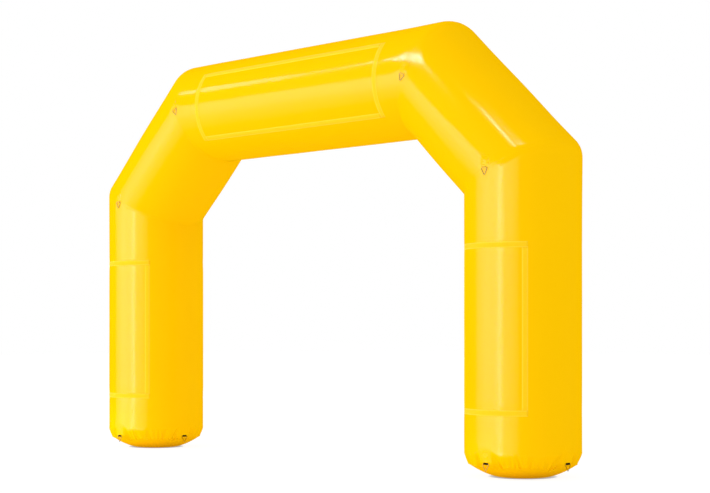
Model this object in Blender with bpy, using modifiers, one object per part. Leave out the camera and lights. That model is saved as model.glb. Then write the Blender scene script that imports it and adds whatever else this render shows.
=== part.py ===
"""Inflatable advertising arch.

An airtight arch of coated fabric: two upright legs, two slanting shoulders and a level beam. Each is
a tube section cut on the mitre, and each seam is backed by a welded tape inside. A dished disc
closes each foot. Hook-and-loop frames on the front and rear take the banners, and wire rings in
webbing loops take the guy lines.

The origin is on the floor midway between the legs. X runs from the left leg to the right leg as seen
from the front, the front faces -Y, and Z is up. All sizes are in metres.
"""

import math

import bmesh
import bpy
from mathutils import Matrix, Vector

# Arch, measured between tube centrelines
TUBE_DIAMETER = 1.0
LEG_SPACING = 5.09
LOWER_MITRE_HEIGHT = 2.595
UPPER_MITRE_SPACING = 3.19
BEAM_HEIGHT = 3.48
TUBE_SIDES = 32

# Coated fabric and its welded seams
SKIN_THICKNESS = 0.0009
LOWER_CORNER_RADIUS = 0.17
UPPER_CORNER_RADIUS = 0.17
SEAM_TAPE_WIDTH = 0.05
SEAM_TAPE_THICKNESS = 0.0009
CREASE_MARGIN = 0.004
WELD_GAP = 0.0003

# Feet
FOOT_CURVE_HEIGHT = 0.24
BASE_SEAM_HEIGHT = 0.11
BASE_SEAM_INSET = 0.04
FLOOR_EDGE_INSET = 0.26
FOOT_CURVE_POWER = 1.55
DISH_POWER = 1.57
FOOT_CURVE_STEPS = 3
DISH_STEPS = 3

# Hook-and-loop frames for the banners
LOOP_TAPE_WIDTH = 0.05
LOOP_TAPE_THICKNESS = 0.0015
BEAM_FRAME_WRAP = 0.734
BEAM_FRAME_END_MARGIN = 0.325
LEG_FRAME_WRAP = 0.775
LEG_FRAME_BOTTOM = 0.535
LEG_FRAME_TOP_MARGIN = 0.617

# Rings, their webbing loops and the patches that hold them
WEBBING_WIDTH = 0.05
WEBBING_THICKNESS = 0.0015
WEBBING_TAIL = 0.08
WEBBING_SHOWING = 0.012
RING_WIRE = 0.0045
RING_HEIGHT = 0.056
RING_BEND_RADIUS = 0.0045
RING_SIDE_CLEARANCE = 0.0005
BAR_CLEARANCE = 0.0003
BASE_RING_HEIGHT = 0.13
PATCH_THICKNESS = 0.0009
PATCH_BORDER = 0.016
PATCH_RAMP = 0.004
RING_BEND_STEPS = 3
LOOP_STEPS = 6

# Inflation valve, on the rear of the right leg
VALVE_BORE = 0.036
VALVE_BARREL_WALL = 0.004
VALVE_FLANGE_WIDTH = 0.012
VALVE_FLANGE_THICKNESS = 0.003
VALVE_FLANGE_CHAMFER = 0.001
VALVE_MOUTH_HEIGHT = 0.006
VALVE_DEPTH = 0.026
VALVE_GASKET_THICKNESS = 0.0012
VALVE_NUT_THICKNESS = 0.005
VALVE_NUT_WIDTH = 0.009
STEM_DIAMETER = 0.006
STEM_CLEARANCE = 0.0003
BUTTON_DIAMETER = 0.016
BUTTON_THICKNESS = 0.003
BUTTON_DEPTH = 0.0108
SEAL_DISC_THICKNESS = 0.0025
SEAL_DISC_OVERLAP = 0.0025
HUB_WALL = 0.0032
HUB_THICKNESS = 0.003
HUB_DEPTH = 0.0308
HUB_ARM_WIDTH = 0.004
HUB_ARM_INSET = 0.0005
HUB_ARMS = 3
SPRING_WIRE = 0.0012
SPRING_STEM_CLEARANCE = 0.0016
SPRING_TURNS = 4.5
SPRING_STEPS_PER_TURN = 8
CAP_THICKNESS = 0.003
CAP_LIP = 0.001
CAP_CHAMFER = 0.001
CAP_PLUG_DEPTH = 0.005
CAP_RIDGE_WIDTH = 0.004
CAP_RIDGE_HEIGHT = 0.004
CAP_RIDGE_INSET = 0.006
VALVE_STEPS = 24

# Meshing
MERGE_DISTANCE = 0.00001
CUTTER_OVERRUN = 0.01
SHARP_BEND = math.radians(35)

# Worked out from the sizes above
TUBE_RADIUS = TUBE_DIAMETER / 2
FACET = 2 * math.pi / TUBE_SIDES
FLAT_RADIUS = TUBE_RADIUS * math.cos(FACET / 2)
LEG_X = LEG_SPACING / 2
UPPER_MITRE_X = UPPER_MITRE_SPACING / 2
SHOULDER_HEADING = math.atan2(BEAM_HEIGHT - LOWER_MITRE_HEIGHT, LEG_X - UPPER_MITRE_X)
WIRE_RADIUS = RING_WIRE / 2
LOOP_RADIUS = WIRE_RADIUS + BAR_CLEARANCE + WEBBING_THICKNESS
BAR_STANDOFF = WELD_GAP + LOOP_RADIUS
TAIL_THICKNESS = 2 * WEBBING_THICKNESS
PATCH_TOP = WEBBING_SHOWING + WEBBING_TAIL + PATCH_RAMP + PATCH_BORDER
VALVE_HEIGHT = (BASE_RING_HEIGHT + PATCH_TOP + LEG_FRAME_BOTTOM) / 2

COLLECTION_NAME = "inflatable_advertising_arch"
CUTTER_COLLECTION_NAME = "cutters"


class Finish:
    """Colour and gloss of one stock that the arch is made of."""

    def __init__(self, name, colour, roughness, metallic=0.0):
        self.material = bpy.data.materials.new(name)
        self.material.use_nodes = True
        shader = self.material.node_tree.nodes["Principled BSDF"]
        shader.inputs["Base Color"].default_value = (*colour, 1.0)
        shader.inputs["Roughness"].default_value = roughness
        shader.inputs["Metallic"].default_value = metallic
        self.material.diffuse_color = (*colour, 1.0)


class Mitre:
    """Plane where two tube sections meet, with the corner rounded by the air pressure.

    The corner is roundest on the outside of the arch and closes to a crease on the inside.
    """

    def __init__(self, x, z, heading_before, heading_after, corner_radius):
        middle = (heading_before + heading_after) / 2
        self.centre = Vector((x, z))
        self.half_turn = (heading_before - heading_after) / 2
        self.along = Vector((math.cos(middle), math.sin(middle)))
        self.outward = Vector((-math.sin(middle), math.cos(middle)))
        self.corner_radius = corner_radius
        self.crease_radius = (SEAM_TAPE_WIDTH / 2 + CREASE_MARGIN) / self.half_turn

    def bend_radius(self, lift):
        """Radius of the corner where the tube's side faces the outside by a share called lift."""
        return self.crease_radius + (self.corner_radius - self.crease_radius) * max(lift, 0)

    def ring(self, depth, distance, nudge=0.0):
        """Points round the tube, at a distance along it from the seam and a depth below its skin."""
        return [
            self.point(angle, depth, distance / self.bend_radius(math.sin(angle)), nudge)
            for angle in section_angles()
        ]

    def end_ring(self, depth, side):
        """Points round the tube where the bend ends, before the seam (-1) or after it (1)."""
        return [self.point(angle, depth, side * self.half_turn, 0.0) for angle in section_angles()]

    def point(self, angle, depth, swing, nudge):
        """Point on the bend at an angle round the tube."""
        lift = math.sin(angle)
        radius = self.bend_radius(lift) - depth * lift
        offset = (TUBE_RADIUS - depth) * lift
        hub = self.centre + self.outward * ((offset - radius) / math.cos(self.half_turn))
        spot = hub + (self.outward * math.cos(swing) + self.along * math.sin(swing)) * radius
        spot = spot + self.along * nudge
        return Vector((spot.x, -(TUBE_RADIUS - depth) * math.cos(angle), spot.y))

    def rings_before(self, depth):
        """Rings of the section that runs up to the seam."""
        edge = self.ring(depth, -SEAM_TAPE_WIDTH / 2)
        return [self.end_ring(depth, -1), edge, self.ring(depth, 0.0, -WELD_GAP / 2)]

    def rings_after(self, depth):
        """Rings of the section that starts at the seam."""
        edge = self.ring(depth, SEAM_TAPE_WIDTH / 2)
        return [self.ring(depth, 0.0, WELD_GAP / 2), edge, self.end_ring(depth, 1)]

    def tape_rings(self, depth):
        """Rings of the tape that backs the seam."""
        half_width = SEAM_TAPE_WIDTH / 2
        return [self.ring(depth, distance) for distance in (-half_width, 0.0, half_width)]


def section_angles():
    """Corner angles round a tube, from the front towards the outside of the arch."""
    return [FACET * (side + 1 / 2) for side in range(TUBE_SIDES)]


def clear_scene():
    for obj in list(bpy.data.objects):
        bpy.data.objects.remove(obj, do_unlink=True)


def make_collection(name):
    collection = bpy.data.collections.new(name)
    bpy.context.scene.collection.children.link(collection)
    return collection


def add_object(name, data, finish, collection, parent=None):
    obj = bpy.data.objects.new(name, data)
    if finish and not data.materials:
        data.materials.append(finish.material)
    collection.objects.link(obj)
    obj.parent = parent
    return obj


def as_cutter(obj):
    """Leaves an object out of the part and draws it as wire, for others to be cut or joined with."""
    obj.hide_render = True
    obj.display_type = "WIRE"
    return obj


def add_empty(name, matrix, collection):
    empty = bpy.data.objects.new(name, None)
    empty.empty_display_size = TUBE_RADIUS
    empty.matrix_world = matrix
    collection.objects.link(empty)
    return empty


def finish_mesh(name, bm):
    bmesh.ops.recalc_face_normals(bm, faces=bm.faces)
    mesh = bpy.data.meshes.new(name)
    bm.to_mesh(mesh)
    bm.free()
    return mesh


def shade_smooth(mesh, angle):
    mesh.shade_smooth()
    mesh.set_sharp_from_angle(angle=angle)


def make_smoothing():
    """Node group that shades a piece smooth and leaves the edges sharp that bend by more than an angle."""
    group = bpy.data.node_groups.new("smooth round sides", "GeometryNodeTree")
    group.interface.new_socket("Geometry", in_out="INPUT", socket_type="NodeSocketGeometry")
    group.interface.new_socket("Geometry", in_out="OUTPUT", socket_type="NodeSocketGeometry")
    source = group.nodes.new("NodeGroupInput")
    smooth = group.nodes.new("GeometryNodeSetShadeSmooth")
    bend = group.nodes.new("GeometryNodeInputMeshEdgeAngle")
    is_corner = group.nodes.new("FunctionNodeCompare")
    is_corner.operation = "GREATER_THAN"
    is_corner.inputs["B"].default_value = SHARP_BEND
    corners = group.nodes.new("GeometryNodeSetShadeSmooth")
    corners.domain = "EDGE"
    corners.inputs["Shade Smooth"].default_value = False
    result = group.nodes.new("NodeGroupOutput")
    group.links.new(source.outputs["Geometry"], smooth.inputs["Geometry"])
    group.links.new(smooth.outputs["Geometry"], corners.inputs["Geometry"])
    group.links.new(bend.outputs["Unsigned Angle"], is_corner.inputs["A"])
    group.links.new(is_corner.outputs["Result"], corners.inputs["Selection"])
    group.links.new(corners.outputs["Geometry"], result.inputs["Geometry"])
    return group


def wall_mesh(name, outer, inner):
    """Closed wall between an outer and an inner surface, each given as matching rings of points."""
    bm = bmesh.new()
    outer_rows = [[bm.verts.new(point) for point in ring] for ring in outer]
    inner_rows = [[bm.verts.new(point) for point in ring] for ring in inner]
    count = len(outer[0])
    for rows, outside in ((outer_rows, True), (inner_rows, False)):
        for row, following in zip(rows, rows[1:]):
            for k in range(count):
                n = (k + 1) % count
                for corners in ((row[k], row[n], following[n]), (row[k], following[n], following[k])):
                    bm.faces.new(corners if outside else corners[::-1])
    for outer_row, inner_row in ((outer_rows[0], inner_rows[0]), (outer_rows[-1], inner_rows[-1])):
        for k in range(count):
            n = (k + 1) % count
            bm.faces.new((outer_row[k], outer_row[n], inner_row[n], inner_row[k]))
    mesh = finish_mesh(name, bm)
    shade_smooth(mesh, 2 * FACET)
    return mesh


def offset_line(points, distance):
    """Line at a distance to the left of a line of (radius, height) points."""
    moved = []
    for i, point in enumerate(points):
        before = (point - points[i - 1]).normalized() if i else (points[1] - point).normalized()
        after = (points[i + 1] - point).normalized() if i + 1 < len(points) else before
        middle = (before + after).normalized()
        normal = Vector((-middle.y, middle.x))
        moved.append(point + normal * (distance / middle.dot(after)))
    return moved


def stretch(points, length):
    """First stretch of a line, up to a length along it."""
    taken = [points[0]]
    for start, end in zip(points, points[1:]):
        step = (end - start).length
        if step >= length:
            taken.append(start.lerp(end, length / step))
            return taken
        taken.append(end)
        length -= step
    return taken


def foot_profile(depth):
    """Half section of a foot, from the floor's centre up to where the tube runs straight.

    Returns the dished disc's points and the tube's points, which share the seam.
    """
    seam = Vector((TUBE_RADIUS - BASE_SEAM_INSET, BASE_SEAM_HEIGHT))
    floor_radius = seam.x - FLOOR_EDGE_INSET
    points = [Vector((0, 0))]
    for i in range(DISH_STEPS):
        share = i / DISH_STEPS
        rise = BASE_SEAM_HEIGHT * share ** DISH_POWER
        points.append(Vector((floor_radius + FLOOR_EDGE_INSET * share, rise)))
    seam_index = len(points)
    for i in range(FOOT_CURVE_STEPS + 1):
        share = i / FOOT_CURVE_STEPS
        inset = BASE_SEAM_INSET * (1 - share) ** FOOT_CURVE_POWER
        height = seam.y + (FOOT_CURVE_HEIGHT - seam.y) * share
        points.append(Vector((TUBE_RADIUS - inset, height)))
    inner = offset_line(points, depth)
    inner[0] = Vector((0, inner[0].y))
    return inner[: seam_index + 1], inner[seam_index:]


def shorten(points, length):
    """Line with its start drawn back by a length."""
    start = points[0] + (points[1] - points[0]).normalized() * length
    return [start] + points[1:]


def leg_rings(side, depth):
    """Rings of a leg's foot, from the base seam upwards. side is -1 for the left leg."""
    rings = []
    for spot in shorten(foot_profile(depth)[1], WELD_GAP / 2):
        ring = []
        for angle in section_angles():
            x = side * (LEG_X + spot.x * math.sin(angle))
            ring.append(Vector((x, -spot.x * math.cos(angle), spot.y)))
        rings.append(ring)
    return rings


def make_mitres():
    """The four mitres, in order along the arch from the left leg to the right leg."""
    up, level, down = math.pi / 2, 0.0, -math.pi / 2
    rise, fall = SHOULDER_HEADING, -SHOULDER_HEADING
    return {
        "left_lower": Mitre(-LEG_X, LOWER_MITRE_HEIGHT, up, rise, LOWER_CORNER_RADIUS),
        "left_upper": Mitre(-UPPER_MITRE_X, BEAM_HEIGHT, rise, level, UPPER_CORNER_RADIUS),
        "right_upper": Mitre(UPPER_MITRE_X, BEAM_HEIGHT, level, fall, UPPER_CORNER_RADIUS),
        "right_lower": Mitre(LEG_X, LOWER_MITRE_HEIGHT, fall, down, LOWER_CORNER_RADIUS),
    }


def build_envelope(mitres, vinyl, collection):
    """Tube sections of the arch, each an open-ended wall of coated fabric."""

    def section(name, rings):
        mesh = wall_mesh(name, rings(0.0), rings(SKIN_THICKNESS))
        return add_object(name, mesh, vinyl, collection)

    def between(first, second):
        return lambda depth: first.rings_after(depth) + second.rings_before(depth)

    section(
        "left_leg_tube",
        lambda depth: leg_rings(-1, depth) + mitres["left_lower"].rings_before(depth),
    )
    section("left_shoulder_tube", between(mitres["left_lower"], mitres["left_upper"]))
    section("beam_tube", between(mitres["left_upper"], mitres["right_upper"]))
    section("right_shoulder_tube", between(mitres["right_upper"], mitres["right_lower"]))
    return section(
        "right_leg_tube",
        lambda depth: mitres["right_lower"].rings_after(depth) + leg_rings(1, depth)[::-1],
    )


def build_seam_tapes(mitres, vinyl, collection):
    """Tapes welded inside the tube over each mitre seam."""
    top = SKIN_THICKNESS + WELD_GAP
    for name, mitre in mitres.items():
        outer = mitre.tape_rings(top)
        inner = mitre.tape_rings(top + SEAM_TAPE_THICKNESS)
        mesh = wall_mesh(f"{name}_seam_tape", outer, inner)
        add_object(f"{name}_seam_tape", mesh, vinyl, collection)


def turned(name, profile, steps, finish, collection, parent=None, closed=False):
    """Object turned about its Z axis from (radius, height) points that run down its outer side."""
    bm = bmesh.new()
    verts = [bm.verts.new((point[0], 0, point[1])) for point in profile]
    for start, end in zip(verts, verts[1:] + verts[:1] if closed else verts[1:]):
        bm.edges.new((start, end))
    mesh = bpy.data.meshes.new(name)
    bm.to_mesh(mesh)
    bm.free()
    obj = add_object(name, mesh, finish, collection, parent)
    screw = obj.modifiers.new("turn", "SCREW")
    screw.axis = "Z"
    screw.angle = 2 * math.pi
    screw.steps = steps
    screw.render_steps = steps
    screw.use_merge_vertices = True
    screw.merge_threshold = MERGE_DISTANCE
    screw.use_smooth_shade = False
    return obj


def build_bases(vinyl, smoothing, collection):
    """Dished disc that closes each foot, and the tape inside its seam."""
    disc_outer = shorten(foot_profile(0.0)[0][::-1], WELD_GAP / 2)
    disc_inner = shorten(foot_profile(SKIN_THICKNESS)[0][::-1], WELD_GAP / 2)
    top = SKIN_THICKNESS + WELD_GAP
    tape_sides = []
    for depth in (top, top + SEAM_TAPE_THICKNESS):
        below, above = foot_profile(depth)
        lower = stretch(below[::-1], SEAM_TAPE_WIDTH / 2)
        upper = stretch(above, SEAM_TAPE_WIDTH / 2)
        tape_sides.append(upper[::-1] + lower[1:])
    for side, label in ((-1, "left"), (1, "right")):
        disc = turned(
            f"{label}_base_disc", disc_inner[::-1] + disc_outer, TUBE_SIDES, vinyl, collection
        )
        tape = turned(
            f"{label}_base_seam_tape",
            tape_sides[0] + tape_sides[1][::-1],
            TUBE_SIDES,
            vinyl,
            collection,
            closed=True,
        )
        for obj in (disc, tape):
            obj.location.x = side * LEG_X
            obj.rotation_euler.z = FACET / 2
            smooth(obj, smoothing)


def facet_stops(start, end):
    """Angles from start to end, with each corner of the tube between them."""
    first = math.floor(start / FACET - 1 / 2) + 1
    last = math.ceil(end / FACET - 1 / 2)
    corners = [FACET * (k + 1 / 2) for k in range(first, last)]
    return [start] + [angle for angle in corners if start < angle < end] + [end]


def flat_reach(angle, height):
    """Distance from the tube's axis at a height above its flat sides."""
    from_middle = angle - FACET * round(angle / FACET)
    return (FLAT_RADIUS + height) / math.cos(from_middle)


def frame_mesh(name, place, half_wrap, near, far):
    """Back of a hook-and-loop frame: a grid that follows the tube's flat sides, open in the middle."""
    tape_angle = LOOP_TAPE_WIDTH / TUBE_RADIUS
    inner_wrap = half_wrap - tape_angle
    angles = facet_stops(-half_wrap, -inner_wrap)
    angles += facet_stops(-inner_wrap, inner_wrap)[1:]
    angles += facet_stops(inner_wrap, half_wrap)[1:]
    stops = (near, near + LOOP_TAPE_WIDTH, far - LOOP_TAPE_WIDTH, far)
    bm = bmesh.new()
    rows = [[bm.verts.new(place(angle, along, WELD_GAP)) for along in stops] for angle in angles]
    for angle, row, following in zip(angles, rows, rows[1:]):
        crosses_middle = -inner_wrap <= angle < inner_wrap
        for k in range(len(stops) - 1):
            if crosses_middle and k == 1:
                continue
            bm.faces.new((row[k], row[k + 1], following[k + 1], following[k]))
    return finish_mesh(name, bm)


def leg_place(side, turn):
    """Maps an angle, a height above the floor and a height above the skin onto a leg."""

    def place(angle, along, height):
        reach = flat_reach(angle, height)
        x = side * LEG_X + reach * math.sin(angle + turn)
        return Vector((x, -reach * math.cos(angle + turn), along))

    return place


def beam_place(facing):
    """Maps an angle, a place along the beam and a height above the skin onto the beam."""

    def place(angle, along, height):
        reach = flat_reach(angle, height)
        return Vector((along, facing * reach * math.cos(angle), BEAM_HEIGHT + reach * math.sin(angle)))

    return place


def add_frame(name, mesh, loop_tape, collection):
    frame = add_object(name, mesh, loop_tape, collection)
    thickness = frame.modifiers.new("thickness", "SOLIDIFY")
    thickness.thickness = LOOP_TAPE_THICKNESS
    thickness.offset = 1
    thickness.use_even_offset = True


def build_banner_frames(loop_tape, collection):
    """Hook-and-loop frames on the front and rear of the beam and both legs."""
    beam_half_length = UPPER_MITRE_X - BEAM_FRAME_END_MARGIN
    beam_half_wrap = BEAM_FRAME_WRAP / TUBE_DIAMETER
    leg_half_wrap = LEG_FRAME_WRAP / TUBE_DIAMETER
    leg_top = LOWER_MITRE_HEIGHT - LEG_FRAME_TOP_MARGIN
    for facing, label in ((-1, "front"), (1, "rear")):
        name = f"beam_{label}_banner_frame"
        place = beam_place(facing)
        mesh = frame_mesh(name, place, beam_half_wrap, -beam_half_length, beam_half_length)
        add_frame(name, mesh, loop_tape, collection)
        for side, leg in ((-1, "left"), (1, "right")):
            name = f"{leg}_leg_{label}_banner_frame"
            place = leg_place(side, 0.0 if facing < 0 else math.pi)
            mesh = frame_mesh(name, place, leg_half_wrap, LEG_FRAME_BOTTOM, leg_top)
            add_frame(name, mesh, loop_tape, collection)


def rounded_hull(centres, radius, steps):
    """Outline round equal circles at the corners of a convex shape, listed clockwise."""
    points = []
    for i, centre in enumerate(centres):
        before = centre - centres[i - 1]
        after = centres[(i + 1) % len(centres)] - centre
        start = math.atan2(before.x, -before.y)
        turn = before.angle_signed(after)
        for step in range(steps + 1):
            angle = start - turn * step / steps
            points.append(centre + Vector((math.cos(angle), math.sin(angle))) * radius)
    return points


def poly_spline(curve, points, cyclic):
    spline = curve.splines.new("POLY")
    spline.points.add(len(points) - 1)
    for target, point in zip(spline.points, points):
        target.co = (*point, 1.0)
    spline.use_cyclic_u = cyclic


def ring_curve():
    """Three-cornered wire ring that hangs from its bar, with the bar on the X axis."""
    half_bar = WEBBING_WIDTH / 2 + RING_SIDE_CLEARANCE
    centres = [
        Vector((-half_bar, -RING_BEND_RADIUS)),
        Vector((half_bar, -RING_BEND_RADIUS)),
        Vector((0, RING_BEND_RADIUS - RING_HEIGHT)),
    ]
    outline = rounded_hull(centres, RING_BEND_RADIUS, RING_BEND_STEPS)
    curve = bpy.data.curves.new("ring_wire", "CURVE")
    curve.dimensions = "3D"
    curve.bevel_depth = WIRE_RADIUS
    curve.bevel_resolution = 1
    poly_spline(curve, [(point.x, 0, point.y) for point in outline], True)
    return curve


def loop_curve(name):
    """Webbing folded round a ring's bar, with both tails laid together up the tube.

    The outline's X runs up the webbing and its Y away from the tube, from the bar's centre.
    """
    back = -LOOP_RADIUS
    front = back + TAIL_THICKNESS
    tail_end = WEBBING_SHOWING + WEBBING_TAIL
    outline = [(tail_end, back, 0)]
    for step in range(LOOP_STEPS + 1):
        angle = math.pi * (3 / 2 - step / LOOP_STEPS)
        outline.append((LOOP_RADIUS * math.cos(angle), LOOP_RADIUS * math.sin(angle), 0))
    outline += [(WEBBING_SHOWING, front, 0), (tail_end, front, 0)]
    eye_radius = (WIRE_RADIUS + BAR_CLEARANCE) / math.cos(math.pi / (2 * LOOP_STEPS))
    eye = []
    for step in range(2 * LOOP_STEPS):
        angle = math.pi * step / LOOP_STEPS
        eye.append((eye_radius * math.cos(angle), eye_radius * math.sin(angle), 0))
    curve = bpy.data.curves.new(name, "CURVE")
    curve.dimensions = "2D"
    curve.fill_mode = "BOTH"
    curve.extrude = WEBBING_WIDTH / 2
    poly_spline(curve, outline, True)
    poly_spline(curve, eye, True)
    return curve


def patch_mesh(name):
    """Patch over a webbing's tails: a flat back, a welded border and a raised middle."""
    half_tail = WEBBING_WIDTH / 2
    half_width = half_tail + PATCH_RAMP + PATCH_BORDER
    sides = [half_width, half_tail + PATCH_RAMP, half_tail]
    across = [-side for side in sides] + sides[::-1]
    tail_end = WEBBING_SHOWING + WEBBING_TAIL
    upward = [WEBBING_SHOWING, tail_end, tail_end + PATCH_RAMP, PATCH_TOP]
    bm = bmesh.new()
    rows = []
    for v in upward:
        row = []
        for u in across:
            over_tail = abs(u) <= half_tail and v <= tail_end
            height = WELD_GAP + PATCH_THICKNESS + (TAIL_THICKNESS if over_tail else 0)
            row.append(bm.verts.new((u, BAR_STANDOFF - height, v)))
        rows.append(row)
    for row, above in zip(rows, rows[1:]):
        for k in range(len(across) - 1):
            bm.faces.new((row[k], row[k + 1], above[k + 1], above[k]))
    rim = rows[0] + [row[-1] for row in rows[1:-1]] + rows[-1][::-1] + [row[0] for row in rows[-2:0:-1]]
    back = [bm.verts.new((vert.co.x, BAR_STANDOFF - WELD_GAP, vert.co.z)) for vert in rim]
    for k in range(len(rim)):
        n = (k + 1) % len(rim)
        bm.faces.new((rim[k], rim[n], back[n], back[k]))
    bm.faces.new(back)
    return finish_mesh(name, bm)


def mesh_from_curve(curve, name):
    """Mesh of a curve, with its caps welded on."""
    source = bpy.data.objects.new(name, curve)
    bpy.context.scene.collection.objects.link(source)
    bpy.context.view_layer.update()
    evaluated = source.evaluated_get(bpy.context.evaluated_depsgraph_get())
    mesh = bpy.data.meshes.new_from_object(evaluated)
    mesh.name = name
    bpy.data.objects.remove(source, do_unlink=True)
    bm = bmesh.new()
    bm.from_mesh(mesh)
    bmesh.ops.remove_doubles(bm, verts=bm.verts, dist=MERGE_DISTANCE)
    bm.to_mesh(mesh)
    bm.free()
    return mesh


def base_seat():
    """Lean of a base tab, which lies on the top facet of a foot's curve, and its bar's reach.

    The reach is the distance from the leg's axis to the bar of the tab's ring.
    """
    lower, upper = foot_profile(0.0)[1][-2:]
    flatness = math.cos(FACET / 2)
    lean = math.atan2((upper.x - lower.x) * flatness, upper.y - lower.y)
    drop = upper.y - BASE_RING_HEIGHT
    reach = upper.x * flatness - drop * math.tan(lean) + BAR_STANDOFF / math.cos(lean)
    return lean, reach


def anchor_matrices(mitres):
    """Places of the ring bars: X along the bar, Z up the webbing and -Y away from the tube."""
    reach = FLAT_RADIUS + BAR_STANDOFF
    mitre_anchors, base_anchors = {}, {}
    for name, mitre in mitres.items():
        lean = math.atan2(mitre.outward.x, mitre.outward.y) if name.endswith("upper") else 0.0
        for turn, facing in ((0.0, "front"), (math.pi, "rear")):
            spot = Matrix.Translation((mitre.centre.x, 0, mitre.centre.y))
            swing = Matrix.Rotation(lean, 4, "Y") @ Matrix.Rotation(turn, 4, "Z")
            mitre_anchors[f"{name}_{facing}"] = spot @ swing @ Matrix.Translation((0, -reach, 0))
    base_lean, base_reach = base_seat()
    for side, leg in ((-1, "left"), (1, "right")):
        turns = {"front": 0.0, "outer": side * math.pi / 2, "rear": math.pi, "inner": -side * math.pi / 2}
        for facing, turn in turns.items():
            spot = Matrix.Translation((side * LEG_X, 0, BASE_RING_HEIGHT)) @ Matrix.Rotation(turn, 4, "Z")
            seat = Matrix.Translation((0, -base_reach, 0)) @ Matrix.Rotation(base_lean, 4, "X")
            base_anchors[f"{leg}_base_{facing}"] = spot @ seat
    return mitre_anchors, base_anchors


def build_anchors(mitres, finishes, collection, cutters):
    """Rings, and the tabs that hold them: a webbing loop whose tails lie under a welded patch."""
    mitre_anchors, base_anchors = anchor_matrices(mitres)
    ring = ring_curve()
    loop = mesh_from_curve(loop_curve("webbing_loop"), "webbing_loop")
    loop.transform(Matrix(((0, 0, 1), (0, -1, 0), (1, 0, 0))).to_4x4())
    for group, anchors, webbing, lean in (
        ("mitre", mitre_anchors, finishes["yellow_webbing"], 0),
        ("base", base_anchors, finishes["black_webbing"], base_seat()[0]),
    ):
        patch = patch_mesh(f"{group}_ring_tab")
        for name, matrix in anchors.items():
            anchor = add_empty(f"{name}_anchor", matrix, collection)
            hanging = add_object(f"{name}_ring", ring, finishes["steel"], collection, anchor)
            hanging.rotation_euler.x = -lean
            tab = add_object(f"{name}_ring_tab", patch, webbing, collection, anchor)
            webbing_loop = add_object(f"{name}_webbing_loop", loop, None, cutters, anchor)
            boolean(tab, "UNION", as_cutter(webbing_loop))


def boolean(obj, operation, other):
    modifier = obj.modifiers.new(f"{operation.lower()} {other.name}", "BOOLEAN")
    modifier.operation = operation
    modifier.object = other


def smooth(obj, smoothing):
    obj.modifiers.new("smooth", "NODES").node_group = smoothing


def box_mesh(name, boxes):
    """Mesh of boxes, each given by its centre, its size and its turn about Z."""
    bm = bmesh.new()
    for centre, size, turn in boxes:
        scale = Matrix.Diagonal((*size, 1))
        bmesh.ops.create_cube(
            bm, size=1, matrix=Matrix.Rotation(turn, 4, "Z") @ Matrix.Translation(centre) @ scale
        )
    return finish_mesh(name, bm)


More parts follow.
